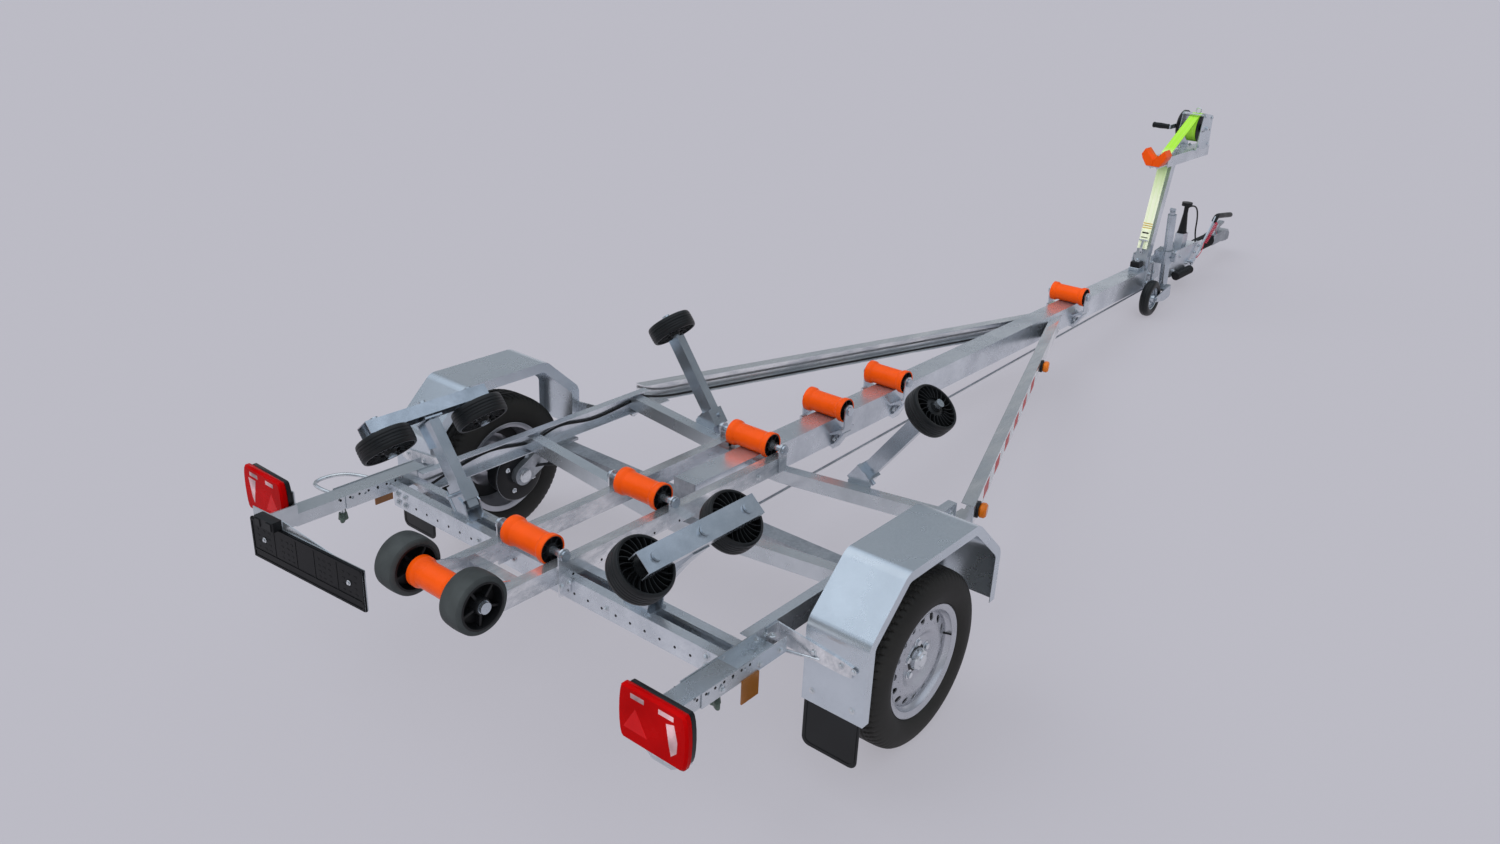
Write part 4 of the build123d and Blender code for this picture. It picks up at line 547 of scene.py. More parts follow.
def road_tyre(side):
    """radius = profile(width) - groove depth x pulse(width) - sipe depth x pulse(angle + slant x width)."""
    half = TYRE_W / 2
    sidewall = np.array([
        (-62, 186), (-70, 188), (-80, 196), (-87, 214), (-89, 232),
        (-87, 250), (-82, 266), (-76, 277), (-70, 284), (-64, 288.5),
    ])
    flat = np.linspace(-60, 60, 41)
    top = np.stack([flat, 293.6 - 3.6 * (flat / 60) ** 4], -1)
    profile = np.concatenate([sidewall, top, sidewall[::-1] * (-1, 1), [(62, 178), (-62, 178)]])
    turns = 360
    a = np.linspace(0, 2 * np.pi, turns, endpoint=False)
    y, r = profile[:, 0][:, None], profile[:, 1][:, None] * np.ones(turns)
    on_top = (np.abs(y) < 66) & (profile[:, 1][:, None] > 280)
    grooves = sum(np.exp(-(((np.abs(y) - place) / 3.4) ** 4)) for place in GROOVES_AT)
    sipes = (np.cos(SIPES * a + y * SIPE_SLANT * np.sign(y)) > 0.66) & (np.abs(y) > 30)
    shoulder = (np.cos(SIPES * a) > 0.40) & (np.abs(np.abs(y) - 72) < 9) & (profile[:, 1][:, None] > 268)
    r = r - on_top * (GROOVE_DEPTH * grooves + SIPE_DEPTH * sipes) - SHOULDER_DEPTH * shoulder
    side_rib = np.exp(-(((profile[:, 1] - 236) / 3) ** 2))[:, None] * (np.abs(y) > half - 8)
    y = y + np.sign(y) * side_rib * 0.8
    grid = np.stack([r * np.cos(a), side * (WHEEL_Y + 0 * r) + y, TYRE_R + r * np.sin(a)], -1)
    return skin(grid, close_rows=True, close_columns=True)


for label, side in SIDES:
    wheel = f"wheel_{label}"
    piece(f"road_tyre_{label}", wheel, TYRE_RUBBER, "tyre", road_tyre(side), replaces=(f"tyre_{label}",))

# %% [markdown]
# A pressed wheel is a barrel with a rolled lip and a dished disc with a ring of round windows. The
# windows could be booleans, but a ring with holes is sixteen equal sectors, and a sector with one
# hole is a grid that blends the hole's edge into the sector's edge, so it stays all quads.
# %% wheel rims
WINDOWS = 16
WINDOW_MID, WINDOW_REACH, WINDOW_R = 138.0, 19.5, 12.5


def window_sector(thick=4.0, columns=40, rows=7):
    """In (angle, radius): edge of the hole + t x (edge of the sector - edge of the hole), front then back."""
    half = math.pi / WINDOWS - 0.00008
    a = (np.arange(columns) + 0.5) * 2 * np.pi / columns
    c, s = np.cos(a), np.sin(a)
    wide = half * WINDOW_MID
    stretch = np.minimum(wide / np.maximum(np.abs(c), 1e-9), WINDOW_REACH / np.maximum(np.abs(s), 1e-9))
    t = np.linspace(0, 1, rows)[:, None]
    reach = WINDOW_R + t * (stretch - WINDOW_R)
    angle, r = reach * c / WINDOW_MID, WINDOW_MID + reach * s
    height = 44 + (WINDOW_MID + WINDOW_REACH - r) * 0.3
    front = np.stack([r * np.cos(angle), height, r * np.sin(angle)], -1)
    back = np.stack([r * np.cos(angle), height - thick, r * np.sin(angle)], -1)[::-1]
    return np.concatenate([front, back])


barrel = [
    (-75, 186), (-74, 188.6), (-71, 188), (-69, 180), (-66, 172), (-28, 171), (-12, 161), (50, 161),
    (58, 171), (66, 172), (69, 180), (71, 188), (74, 188.6), (75, 186), (73, 178), (68, 168), (60, 166),
    (51, 157.5), (-14, 157.5), (-30, 166), (-68, 168), (-73, 178),
]
disc = [
    (55.7, 118.6), (58, 110), (58.5, 102), (54, 90), (44, 80), (41, 70), (41, 45),
    (37, 45), (37, 68), (40, 78), (50, 89), (54, 101), (53.5, 110), (51.7, 118.6),
]
# a black ring just behind the windows is painted shade, so that they read dark
painted_shade_ring = [(30, 112), (30, 157.6), (34, 157.6), (34, 112)]
drum = [
    (-138, 17.6), (-138, 98), (-134, 100), (-76, 100), (-76, 60),
    (30, 48), (40.8, 46), (40.8, 0), (37.6, 0), (37.6, 17.6),
]
for label, side in SIDES:
    middle = np.array([0, side * WHEEL_Y, TYRE_R])
    out = (0, side, 0)
    sector = window_sector() * (1, side, 1) + middle
    ring = spun(skin(sector, close_rows=True, close_columns=True), middle, Y_AXIS, WINDOWS)
    rim = [turned(profile, middle, out, turns=96, closed=True) for profile in (barrel, disc)] + [ring]
    hub = [turned(profile, middle, out, turns=48, closed=True) for profile in (drum, painted_shade_ring)]
    wheel = f"wheel_{label}"
    piece(f"pressed_rim_{label}", wheel, WHEEL_SILVER, "wheel_silver", *rim, replaces=(f"rim_{label}",))
    piece(f"hub_drum_and_painted_shade_{label}", wheel, BLACK_PLASTIC, "black_plastic", *hub)

# %% [markdown]
# Bolts hold nearly everything here, so one small template serves them all: a chamfered hexagon on a
# washer with the thread's end showing. It is set down wherever a table says, facing the way it says.
# %% bolts


def bolt(at, axis, size=9.0, washer=True, stub=5.0):
    """Hexagon of that corner radius carried along the axis, on a washer, with a stub of thread on top."""
    axis, u, v = across(axis)
    a = np.arange(6) * np.pi / 3
    at = np.asarray(at, float)
    skins = [slab(size * np.stack([np.cos(a), np.sin(a)], -1), at + axis, u, v, 0.75 * size, 0.12 * size)]
    if washer:
        ring = [(0, 0), (0, 1.45 * size), (1.2, 1.5 * size), (1.6, 1.4 * size), (1.6, 0)]
        skins.append(turned(ring, at, axis, turns=16))
    if stub:
        end = 1 + 0.75 * size + stub
        thread = [(1, 0), (1, 0.5 * size), (end - 1, 0.5 * size), (end, 0.4 * size), (end, 0)]
        skins.append(turned(thread, at, axis, turns=10))
    return joined(skins)


def mirrored(*skins):
    """The same skins and their mirror images across the middle of the trailer."""
    return list(skins) + [(points * (1, -1, 1), faces[:, ::-1]) for points, faces in skins]


def hardware(name, *skins):
    """Bright fasteners that stay with the frame, as one piece."""
    piece(name, "chassis", ZINC_BOLT, "galvanised", *skins)


print("one bolt has", len(bolt((0, 0, 0), (0, 0, 1))[1]), "faces")

# %% [markdown]
# A steel road wheel shows five conical nuts round a hub with a pressed cap, a valve at the rim, and
# on its inner side a black brake plate with its own bolts. They are small, but without them a wheel
# reads as a blank disc.
# %% wheel nuts, caps and brake plates
for label, side in SIDES:
    middle = np.array([0, side * WHEEL_Y, TYRE_R])
    out = (0, side, 0)
    nut = bolt(middle + (56, side * 41, 0), out, 11, stub=0)
    nuts = spun(nut, middle, out, 5, 0.3)
    cap = turned([(39, 0), (39, 36), (58, 35), (63, 31), (65, 22), (68, 20), (69, 0)], middle, out, turns=40)
    valve = tube(middle + np.array([(152, side * 42, 18), (157, side * 54, 18), (162, side * 70, 18)]), 3.2)
    piece(f"wheel_nuts_{label}", f"wheel_{label}", ZINC_BOLT, "galvanised", nuts, cap)
    piece(f"valve_{label}", f"wheel_{label}", BLACK_PLASTIC, "black_rubber", valve)
plate_face = [(0, 0), (0, 50), (3, 60), (3, 108), (0, 113), (-8, 117), (-8, 0)]
in_plate = turned(plate_face, (0, 828, TYRE_R), (0, -1, 0), turns=48)
plate_bolts = spun(bolt((72, 824, TYRE_R), (0, -1, 0), 7), np.array([0, 824, TYRE_R]), (0, 1, 0), 4, 0.5)
hub_cap = turned([(0, 0), (0, 30), (9, 28), (14, 20), (14, 0)], (0, 800, TYRE_R), (0, -1, 0), turns=24)
piece("brake_plates", "chassis", BLACK_PLASTIC, "black_plastic", *mirrored(in_plate))
hardware("brake_plate_bolts", *mirrored(plate_bolts, hub_cap))

# %% [markdown]
# The bilge wheels are moulded: a ribbed rubber tread on a ring, with some two dozen thin curved fins
# from the hub to the ring. Booleans could cut the gaps, but a fin is only a thin curved wall, so one
# fin is drawn as a grid and turned round the hub. The axle leans, so all is drawn about a hub frame.
# %% bilge wheels
CANT = math.radians(48.75)
BILGE_R = 95.5
BILGE_HALF = 33.0
BILGE_FINS = 22
REAR_HUB = (-563.0, 575.0, 744.0)
FRONT_HUB = (647.0, 618.0, 805.0)
ROCKER_REACH = 188.0


def bilge_wheel(hub, side):
    """Tread ring turned from a ribbed profile; web, hub and inner ring turned; curved fins spun."""
    hub = np.array(hub) * (1, side, 1)
    axis = np.array([0, side * math.cos(CANT), math.sin(CANT)])
    y = np.linspace(-BILGE_HALF + 6, BILGE_HALF - 6, 43)
    ribs = 2.0 * sum(np.exp(-(((y - place) / 1.9) ** 4)) for place in (-16, -5.5, 5.5, 16))
    crown = np.stack([y, BILGE_R - 0.4 - 2.2 * (y / 27) ** 4 - ribs], -1)
    edge = np.array([(5, 82), (1, 83), (0, 85), (0, 89), (3, 92)]) - (BILGE_HALF, 0)
    tread = turned(np.concatenate([edge, crown, edge[::-1] * (-1, 1)]), hub, axis, turns=72, closed=True)
    boss = BILGE_HALF + 2.5
    side_of_core = [(boss, 11), (boss, 19), (26, 22), (22, 36), (5, 38), (5, 83)]
    both_sides = side_of_core + [(-along, r) for along, r in reversed(side_of_core)]
    core = turned(both_sides, hub, axis, turns=48, closed=True)
    _, u, v = across(axis)
    r = np.linspace(36, 83.5, 10)
    bend = 0.16 * ((r - 36) / 47.5) ** 2
    fins = []
    for s in (-1, 1):
        wide = np.array([(4, -1.5), (BILGE_HALF - 3, -1.1), (BILGE_HALF - 3, 1.1), (4, 1.5)])
        along, off = wide[:, :1], wide[:, 1:]
        angle = bend[None, :] + off / r[None, :]
        ray = np.cos(angle)[..., None] * u + np.sin(angle)[..., None] * v
        rows = (hub + s * along[..., None] * axis + r[None, :, None] * ray).transpose(1, 0, 2)
        ends = [np.broadcast_to(rows[i].mean(0), (1, 4, 3)) for i in (0, -1)]
        fin = skin(np.concatenate([ends[0], rows, ends[1]]), close_columns=True)
        fins.append(spun(fin, hub, axis, BILGE_FINS))
    return [tread, core, *fins]


hubs = (("rear", REAR_HUB, -ROCKER_REACH), ("mid", REAR_HUB, ROCKER_REACH), ("front", FRONT_HUB, 0))
for place, middle, dx in hubs:
    for label, side in SIDES:
        node = f"bilge_wheel_{place}_{label}"
        hub = (middle[0] + dx, middle[1], middle[2])
        piece(f"ribbed_{node}", node, HARD_RUBBER, "black_rubber", *bilge_wheel(hub, side), replaces=(node,))

# %% [markdown]
# The keel rollers are orange mouldings on a black core. From a short straight waist they widen in a
# curve to each end, with a parting line round the middle. The shell is turned from that profile, and
# the core is a ring with ribs that shows in the recess at each end.
# %% keel rollers
ROLLER_Z = 570.0
ROLLER_HALF = 94.0
KEEL_ROLLERS = {
    "keel_roller_1": 3136, "keel_roller_2": 1355, "keel_roller_3": 914,
    "keel_roller_4": 436, "keel_roller_5": -152, "keel_roller_6": -640, "end_roller": -985,
}


def roller_shell(x):
    """radius = waist + (end - waist) x (distance from the middle) to the power 1.6, less a parting line."""
    y = np.linspace(-ROLLER_HALF + 3, ROLLER_HALF - 3, 61)
    t = np.clip((np.abs(y) - 4) / (ROLLER_HALF - 24), 0, 1)
    r = 25.4 + 24.0 * t**1.6 - 0.6 * np.exp(-((y / 1.4) ** 2))
    skirt = np.array([(16, 43), (1, 44), (0, 45.5), (0, 48), (1.2, 49.4)]) - (ROLLER_HALF, 0)
    profile = np.concatenate([skirt, np.stack([y, r], -1), skirt[::-1] * (-1, 1)])
    return turned(profile, (x, 0, ROLLER_Z), turns=64, closed=True)


def roller_core(x):
    """Black cup behind each end's skirt, with a hub and eight ribs between them."""
    middle = np.array([x, 0, ROLLER_Z])
    skins = []
    for s in (-1, 1):
        out = (0, s, 0)
        cup = [(74, 12.4), (90, 12.4), (90, 21), (80, 22), (78, 40), (92, 41.5), (92, 44), (74, 44)]
        skins.append(turned(cup, middle, out, turns=48, closed=True))
        low, high = sorted((s * 79, s * 89))
        rib = brick((x + 21, low, ROLLER_Z - 1.2), (x + 42, high, ROLLER_Z + 1.2))
        skins.append(spun(rib, middle, Y_AXIS, 8))
    return skins


for name, x in KEEL_ROLLERS.items():
    piece(f"shell_{name}", name, ORANGE, "orange_rubber", roller_shell(x), replaces=(name,))
    piece(f"core_{name}", name, BLACK_PLASTIC, "black_plastic", *roller_core(x))

# %% [markdown]
# The end wheels steady the stem as the boat comes on. Their treads are broad, flat and scuffed grey,
# and a black dish with five spokes sits in each side.
# %% end wheels
END_X = -985.0
END_WHEEL_R = 92.5
END_WHEEL_MID = 152.5
for label, side in SIDES:
    middle = np.array([END_X, side * END_WHEEL_MID, ROLLER_Z])
    y = np.linspace(-36, 36, 25)
    crown = np.stack([y, END_WHEEL_R - 0.3 - 2.4 * (y / 36) ** 2 - 0.6 * np.exp(-((y / 1.5) ** 2))], -1)
    rim_edge = np.array([(-38, 70), (-42, 72), (-42.5, 78), (-41, 85)])
    tread = turned(np.concatenate([rim_edge, crown, rim_edge[::-1] * (-1, 1)]), middle, turns=80, closed=True)
    half_dish = [
        (42.5, 12.4), (42.5, 24), (38, 26), (10, 30), (10, 62), (38, 66), (43, 68), (43, 74), (36, 76),
    ]
    dish = [(-along, r) for along, r in half_dish] + half_dish[::-1]
    spokes = []
    for s in (-1, 1):
        low, high = sorted((s * 9, s * 33))
        near_corner = (END_X + 26, middle[1] + low, ROLLER_Z - 4)
        far_corner = (END_X + 66, middle[1] + high, ROLLER_Z + 4)
        spoke = brick(near_corner, far_corner, 1)
        spokes.append(spun(spoke, middle, Y_AXIS, 5, 0.4))
    node = f"end_wheel_{label}"
    piece(f"tread_{node}", node, SCUFFED, "black_rubber", tread, replaces=(node,))
    dish = turned(dish, middle, turns=64, closed=True)
    piece(f"dish_{node}", node, BLACK_PLASTIC, "black_plastic", dish, *spokes)
    flat_ring = [(43.2, 12.2), (43.2, 20), (45, 20), (45, 12.2)]
    washer = turned(flat_ring, middle, (0, side, 0), turns=24, closed=True)
    piece(f"washer_{node}", node, ZINC_PLATED, "galvanised", washer)

# %% [markdown]
# The jockey wheel has a solid rounded tyre on a pressed zinc disc, which the fork's plates half hide.
# Both are turned, and the disc gets a ring of small rivets.
# %% jockey wheel
JOCKEY = np.array([4050.0, -115.0, 378.0])
side_of_tyre = [(-20, 64), (-24, 68), (-27.5, 80), (-27, 92), (-22, 101), (-15, 105.5)]
tread = [(-9, 107.3), (-8, 105.8), (-6, 105.8), (-5, 107.6), (5, 107.6), (6, 105.8), (8, 105.8), (9, 107.3)]
ring = np.array(side_of_tyre + tread + [(-y, r) for y, r in reversed(side_of_tyre)])
piece(
    "jockey_tyre", "jockey_wheel", HARD_RUBBER, "black_rubber",
    turned(ring, JOCKEY, turns=72, closed=True), replaces=("jockey_wheel",),
)
side_of_disc = [(30, 11), (30, 20), (12, 26), (10, 56), (18, 60), (21, 66)]
both_sides = [(-along, r) for along, r in side_of_disc] + side_of_disc[::-1]
disc = turned(both_sides, JOCKEY, turns=48, closed=True)
rivets = []
for s in (-1, 1):
    rivet = bolt(JOCKEY + (44, s * 10.5, 0), (0, s, 0), 5, washer=False, stub=0)
    rivets.append(spun(rivet, JOCKEY, (0, 1, 0), 4))
piece("jockey_disc", "jockey_wheel", ZINC_PLATED, "galvanised", disc, *rivets)

# %% [markdown]
# A tail lamp is a red lens on a black base. The lens has a chamfered rim, and a bright crescent near
# its outer end is a painted highlight. It also has two small clear windows near its top, a clear
# reversing lens and a reflecting triangle. Each is a thin slab that stands half a millimetre proud,
# and the lens itself is one slab with a wide bevel.
# %% tail lamps
LAMP_X, LAMP_Y, LAMP_Z = -1007.0, 884.0, 547.0
LAMP_W, LAMP_H, LAMP_D = 117.0, 80.0, 21.0
BACKWARD = ((0, -1, 0), (0, 0, 1))


def lamp_outline(grow=0.0):
    """Lozenge with straight top and bottom and rounded ends, drawn on y and z about the lamp's middle."""
    a = np.linspace(-1.0, 1.0, 9)
    out = LAMP_W + grow - 30 + 30 * np.cos(a * 1.15) ** 0.8
    end = np.stack([out, (LAMP_H + grow) * np.sin(a * np.pi / 2)], -1)
    return np.concatenate([end, end[::-1] * (-1, 1)])


def on_lamp(points, depth, lift, middle_y):
    """Slab on the lens's face: points are (outward, up) from the lamp's middle, for the left lamp."""
    flat = np.array(points, float) * (-1, 1)
    return slab(flat, (LAMP_X - LAMP_D - lift + depth, middle_y, LAMP_Z), *BACKWARD, depth, 0.4)


backing = slab(lamp_outline(-5), (LAMP_X + LAMP_D, LAMP_Y, LAMP_Z), *BACKWARD, 18, 2)
lens = slab(lamp_outline(0), (LAMP_X + 4, LAMP_Y, LAMP_Z), *BACKWARD, 25, 6)
piece("lamp_bases", "chassis", BLACK_PLASTIC, "black_plastic", *mirrored(backing))
piece("lamp_lenses", "chassis", RED_LENS, "red_lens", *mirrored(lens), replaces=("tail_lamps",))
top = LAMP_H - 10
clear = []
for y0, y1 in ((-72, -26), (22, 72)):
    window = [(y0, top - 18), (y1, top - 18), (y1, top - 4), (y0, top - 4)]
    clear.append(on_lamp(window, 1.2, 0.5, LAMP_Y))
wedge = on_lamp([(38, top - 28), (82, top - 28), (70, -26), (60, -46)], 1.2, 0.5, LAMP_Y)
# the crescent near the lens's outer end is a painted highlight
bow = [(48, top - 34), (74, top - 26), (86, -2), (84, -34), (66, -52), (58, -20)]
painted_highlight = on_lamp(bow, 1.2, 0.5, LAMP_Y)
mirrored_windows_and_highlight = [(p * (1, -1, 1), f[:, ::-1]) for p, f in (*clear, painted_highlight)]
piece("lamp_windows_and_highlight", "chassis", WHITE_OPTIC_AND_HIGHLIGHT, "red_lens", *clear, wedge, *mirrored_windows_and_highlight)
triangle = [on_lamp([(-96, -44), (-14, -44), (-55, 26)], 1.0, 0.4, LAMP_Y)]
tongue_edge = [(-78, -78), (78, -78), (64, -112), (34, -134), (-34, -134), (-64, -112)]
tongue = slab(tongue_edge, (-987, LAMP_Y, LAMP_Z), *BACKWARD, 3, 0.5)
tongue_bolts = [bolt((-990, LAMP_Y + y, LAMP_Z - 108), (-1, 0, 0), 8, stub=0) for y in (-20, 20)]
piece("lamp_tongues", "chassis", ZINC_ARM, "galvanised_sheet", *mirrored(tongue))
hardware("tongue_bolts", *mirrored(*tongue_bolts))
piece("lamp_reflectors", "chassis", RED_RIM, "red_lens", *mirrored(*triangle))

# %% [markdown]
# The number plate's carrier is a black moulded frame with a raised rim and three blank fields. It
# hangs on a folded sheet from the left lamp, with the plate's own lamp above it. The carrier is a
# thin shell over the CAD board, turned by the same small yaw.
# %% plate carrier
PLATE = np.array([-1112.0, 492.0, 490.0])
YAW = math.radians(4.7)
PLATE_BACK = np.array([-math.cos(YAW), -math.sin(YAW), 0])
PLATE_ACROSS = np.array([math.sin(YAW), -math.cos(YAW), 0])


def on_plate(y0, y1, z0, z1, x0, x1, bevel=0.8):
    """Box on the carrier's own axes: y to the left along it, z up, x backwards from its middle."""
    corners = [(-y1, z0), (-y0, z0), (-y0, z1), (-y1, z1)]
    return slab(corners, PLATE + x0 * PLATE_BACK, PLATE_ACROSS, (0, 0, 1), x1 - x0, bevel)


board = [on_plate(-271, 271, -70, 70, -3, 6.6, 2)]
board += [on_plate(-269, 269, z, z + 7, 6, 8.4) for z in (-69, -44, 61)]
board += [on_plate(y, y + 7, -69, 68, 6, 8.4) for y in (-269, 262)]
board += [on_plate(y, y + 3, -38, 60, 6, 7.6) for y in (-152, -44, 44, 152)]
PIP_COLUMNS = (-235, -205, -180, -115, -88, -66, 66, 88, 115, 180, 205, 235)
pips = [(y, z) for y in PIP_COLUMNS for z in (-24, -4, 16, 38)]
for i, (y, z) in enumerate(pips):
    board.append(on_plate(y - 7 + (i % 3) * 2, y + 5, z - 2 - i % 2, z + 3, 6, 7.4, 0.3))
piece("plate_carrier", "chassis", BOARD_BLACK, "black_plastic", *board)
screw_row = PLATE + (0, 0, 8) + 7 * PLATE_BACK
screws = [bolt(screw_row + y * -PLATE_ACROSS, PLATE_BACK, 6, stub=0) for y in (-205, 205)]
hardware("plate_screws", *screws)
plate_lamp = [on_plate(118, 212, 71, 104, -5, 30, 3)]
plate_lamp += [on_plate(y, y + 26, 74, 100, 29, 33, 1.5) for y in (124, 180)]
piece("plate_lamp", "chassis", BLACK_PLASTIC, "black_plastic", *plate_lamp)

# %% [markdown]
# A mudflap is a rubber sheet with rounded lower corners and a raised rib round its edge, bolted
# behind the guard's rear sheet. Its face is left bare.
# %% mudflaps and guard bolts
FLAP_X0, FLAP_X1 = -379.0, -375.0
FLAP_Y = (879.5, 1075.5)
FLAP_Z = (121.0, 330.0)


def rounded_flap(inset):
    """Rectangle whose two lower corners are quarter circles, on y and z."""
    y0, y1, z0, z1 = FLAP_Y[0] + inset, FLAP_Y[1] - inset, FLAP_Z[0] + inset, FLAP_Z[1] - inset
    r = 26 - 0.6 * inset
    a = np.linspace(0, np.pi / 2, 7)
    left = np.stack([y0 + r - r * np.cos(a), z0 + r - r * np.sin(a)], -1)
    right_corner = np.stack([y1 - r + r * np.sin(a), z0 + r - r * np.cos(a)], -1)
    return np.concatenate([[(y0, z1)], left, right_corner, [(y1, z1)]])


outer, inner = rounded_flap(7), rounded_flap(12)
face = slab(rounded_flap(0) * (-1, 1), (FLAP_X1, 0, 0), (0, -1, 0), (0, 0, 1), FLAP_X1 - FLAP_X0, 0.8)
rows = [(outer, FLAP_X0 + 1), (outer, FLAP_X0 - 1.6), (inner, FLAP_X0 - 1.6), (inner, FLAP_X0 + 1)]
rib = np.stack([np.stack([np.full(len(o), x), o[:, 0], o[:, 1]], -1) for o, x in rows])
flaps = mirrored(face, skin(rib, close_rows=True, close_columns=True))
piece("bare_mudflaps", "chassis", HARD_RUBBER, "black_rubber", *flaps, replaces=("mudflaps",))
GUARD_REAR_X = -381.0
spots = [(906, 452), (1002, 452), (1044, 452), (906, 318), (1046, 318)]
guard_bolts = [bolt((GUARD_REAR_X - (6 if z > 400 else 0), y, z), (-1, 0, 0), 7, stub=0) for y, z in spots]
guard_bolts += [bolt((364, y, z), (1, 0, 0), 7, stub=2) for y, z in ((906, 452), (1002, 452))]
hardware("guard_bolts", *mirrored(*guard_bolts))

# %% [markdown]
# The winch is where the colour is: a roll of vivid webbing between two black flanges, a black gear
# cover and a black crank grip. The drum and the crank turn by themselves, so each piece rides on its
# own body. The roll is turned with a fine ripple, one for each layer's edge.
# %% winch
DRUM = np.array([4625.0, 0.0, 1312.0])
DRUM_R = 84.0
CRANK_REACH = 135.0
STRAP_HALF = 29.0
layers = np.linspace(-STRAP_HALF, STRAP_HALF, 15)
roll = [(-STRAP_HALF - 0.5, 13), (-STRAP_HALF - 0.5, DRUM_R - 3)]
roll += [(y, DRUM_R - 0.4 - 0.5 * (i % 2)) for i, y in enumerate(layers)]
roll += [(STRAP_HALF + 0.5, DRUM_R - 3), (STRAP_HALF + 0.5, 13)]
roll = turned(roll, DRUM, closed=True)
piece("webbing_roll", "winch_drum", WEBBING_WITH_PAINTED_LIGHT, "webbing", roll, replaces=("winch_drum",))
flange = [(30.2, 12), (30.2, DRUM_R - 3), (31.5, DRUM_R - 2), (33, DRUM_R - 3), (33, 24), (40, 20), (40, 12)]
flanges = [turned(flange, DRUM, (0, s, 0), turns=56, closed=True) for s in (-1, 1)]
shaft = turned([(-70, 0), (-70, 11.8), (70, 11.8), (70, 0)], DRUM, turns=24)
shaft_nut = bolt(DRUM - (0, 69, 0), (0, -1, 0), 13, washer=False, stub=0)
piece("drum_flanges", "winch_drum", BLACK_PLASTIC, "black_plastic", *flanges)
piece("drum_shaft", "winch_drum", ZINC_BOLT, "galvanised", shaft, shaft_nut)
grip_end = DRUM + (-CRANK_REACH, 0, 0)
grip = [(111, 0), (111, 13), (116, 16), (126, 14.6), (165, 17), (196, 15.5), (206, 17.5), (212, 14), (212, 0)]
piece("crank_grip", "winch_crank", BLACK_PLASTIC, "black_plastic", turned(grip, grip_end, turns=28))
crank_nut = bolt(DRUM + (0, 105, 0), (0, 1, 0), 12, stub=0)
piece("crank_nut", "winch_crank", ZINC_BOLT, "galvanised", crank_nut)
SIDE_SPOTS = ((-84, 1214), (70, 1214), (-52, 1388), (62, 1370))
side_bolts = [bolt((DRUM[0] + dx, 67, z), (0, 1, 0), 8, stub=0) for dx, z in SIDE_SPOTS]
deck_bolts = [bolt((DRUM[0] + dx, y, 1194), (0, 0, 1), 8, stub=3) for dx in (-96, 74) for y in (-40, 40)]
a = np.linspace(0, 2 * np.pi, 24)
eye = tube(np.stack([DRUM[0] - 10 + 0 * a, -4 + 15 * np.cos(a), 1412 + 15 * np.sin(a)], -1), 3.5)
tie_bars = [tube([(DRUM[0] + dx, y, z) for y in (-63, 0, 63)], 6) for dx, z in ((-60, 1392), (62, 1370))]
hardware("winch_bolts", *mirrored(*side_bolts), *deck_bolts, eye, *tie_bars)

# %% [markdown]
# The strap runs from the drum over the arm and down the post. Near its foot it is sewn with three
# coloured rows, goes through a dark buckle and ends in a hook round the post's lug. These lie along
# the run, so they are placed by their distance down it and their height off it.
# %% strap end
STRAP_TURN = np.array([4212.0, 0.0, 1204.0])
STRAP_FOOT = np.array([4088.5, 0.0, 652.0])
strap_way = (STRAP_FOOT - STRAP_TURN) / np.linalg.norm(STRAP_FOOT - STRAP_TURN)
strap_off = np.cross((0, 1, 0), strap_way)


def on_strap(s0, s1, half, lift, depth, bevel=0.3):
    """Slab on the strap's outer face between two distances down the post."""
    corners = [(-half, s0), (half, s0), (half, s1), (-half, s1)]
    return slab(corners, STRAP_TURN + lift * strap_off, (0, 1, 0), strap_way, depth, bevel)


rows = [on_strap(place, place + 5, STRAP_HALF - 1, 1.4, 0.8, 0.2) for place in (414, 427, 440)]
piece("strap_stitches", "chassis", moulded("stitching", (0.80, 0.50, 0.05), 0.8), "webbing", *rows)
fold = [on_strap(452, 520, STRAP_HALF - 5, 1.3, 5.0, 1.5)]
piece("strap_fold", "chassis", WEBBING_WITH_PAINTED_LIGHT, "webbing", *fold)
buckle = [on_strap(468, 476, STRAP_HALF - 9, 6.0, 1.2), on_strap(497, 502, STRAP_HALF - 9, 6.0, 1.2)]
piece("strap_slots", "chassis", BLACK_PLASTIC, "black_plastic", *buckle)
hook_way = [(512, 8), (530, 10), (548, 13), (566, 14), (582, 7), (590, -8), (584, -22), (570, -28)]
hook = tube(smooth_path([STRAP_TURN + s * strap_way + h * strap_off for s, h in hook_way], 40), 7.5, 12)
bow_bar = tube([STRAP_TURN + 516 * strap_way + 5 * strap_off + (0, y, 0) for y in (-26, 0, 26)], 5)
hardware("strap_hook", hook, bow_bar)

# %% [markdown]
# The bow stop is a soft orange V on a zinc seat. Each arm is a convex slab of its own, because a
# slab's face fans from its middle, and the two meet on the centre line.
# %% bow stop
STOP_X = (4018.0, 4106.0)
STOP_Z = 1148.0
arm_of_v = np.array([(0.1, 0), (38, 0), (66, 40), (74, 62), (56, 94), (30, 66), (0.1, 38)])
stop_arms = [slab(arm_of_v, (STOP_X[0], 0, STOP_Z), (0, 1, 0), (0, 0, 1), STOP_X[1] - STOP_X[0], 3)]
piece("bow_stop_v", "chassis", ORANGE, "orange_rubber", *mirrored(*stop_arms), replaces=("bow_stop",))
seat_bolts = [bolt((x, y, 1142), (0, 0, -1), 8, stub=6) for x in (4050, 4085) for y in (-20, 20)]
hardware("bow_stop_bolts", *seat_bolts)

# %% [markdown]
# Rubber bellows keep water out of the overrun tube and of the spring under the lever. A bellows is a
# radius that swings between two values along its axis, so both are one turned profile.
# %% bellows and grips


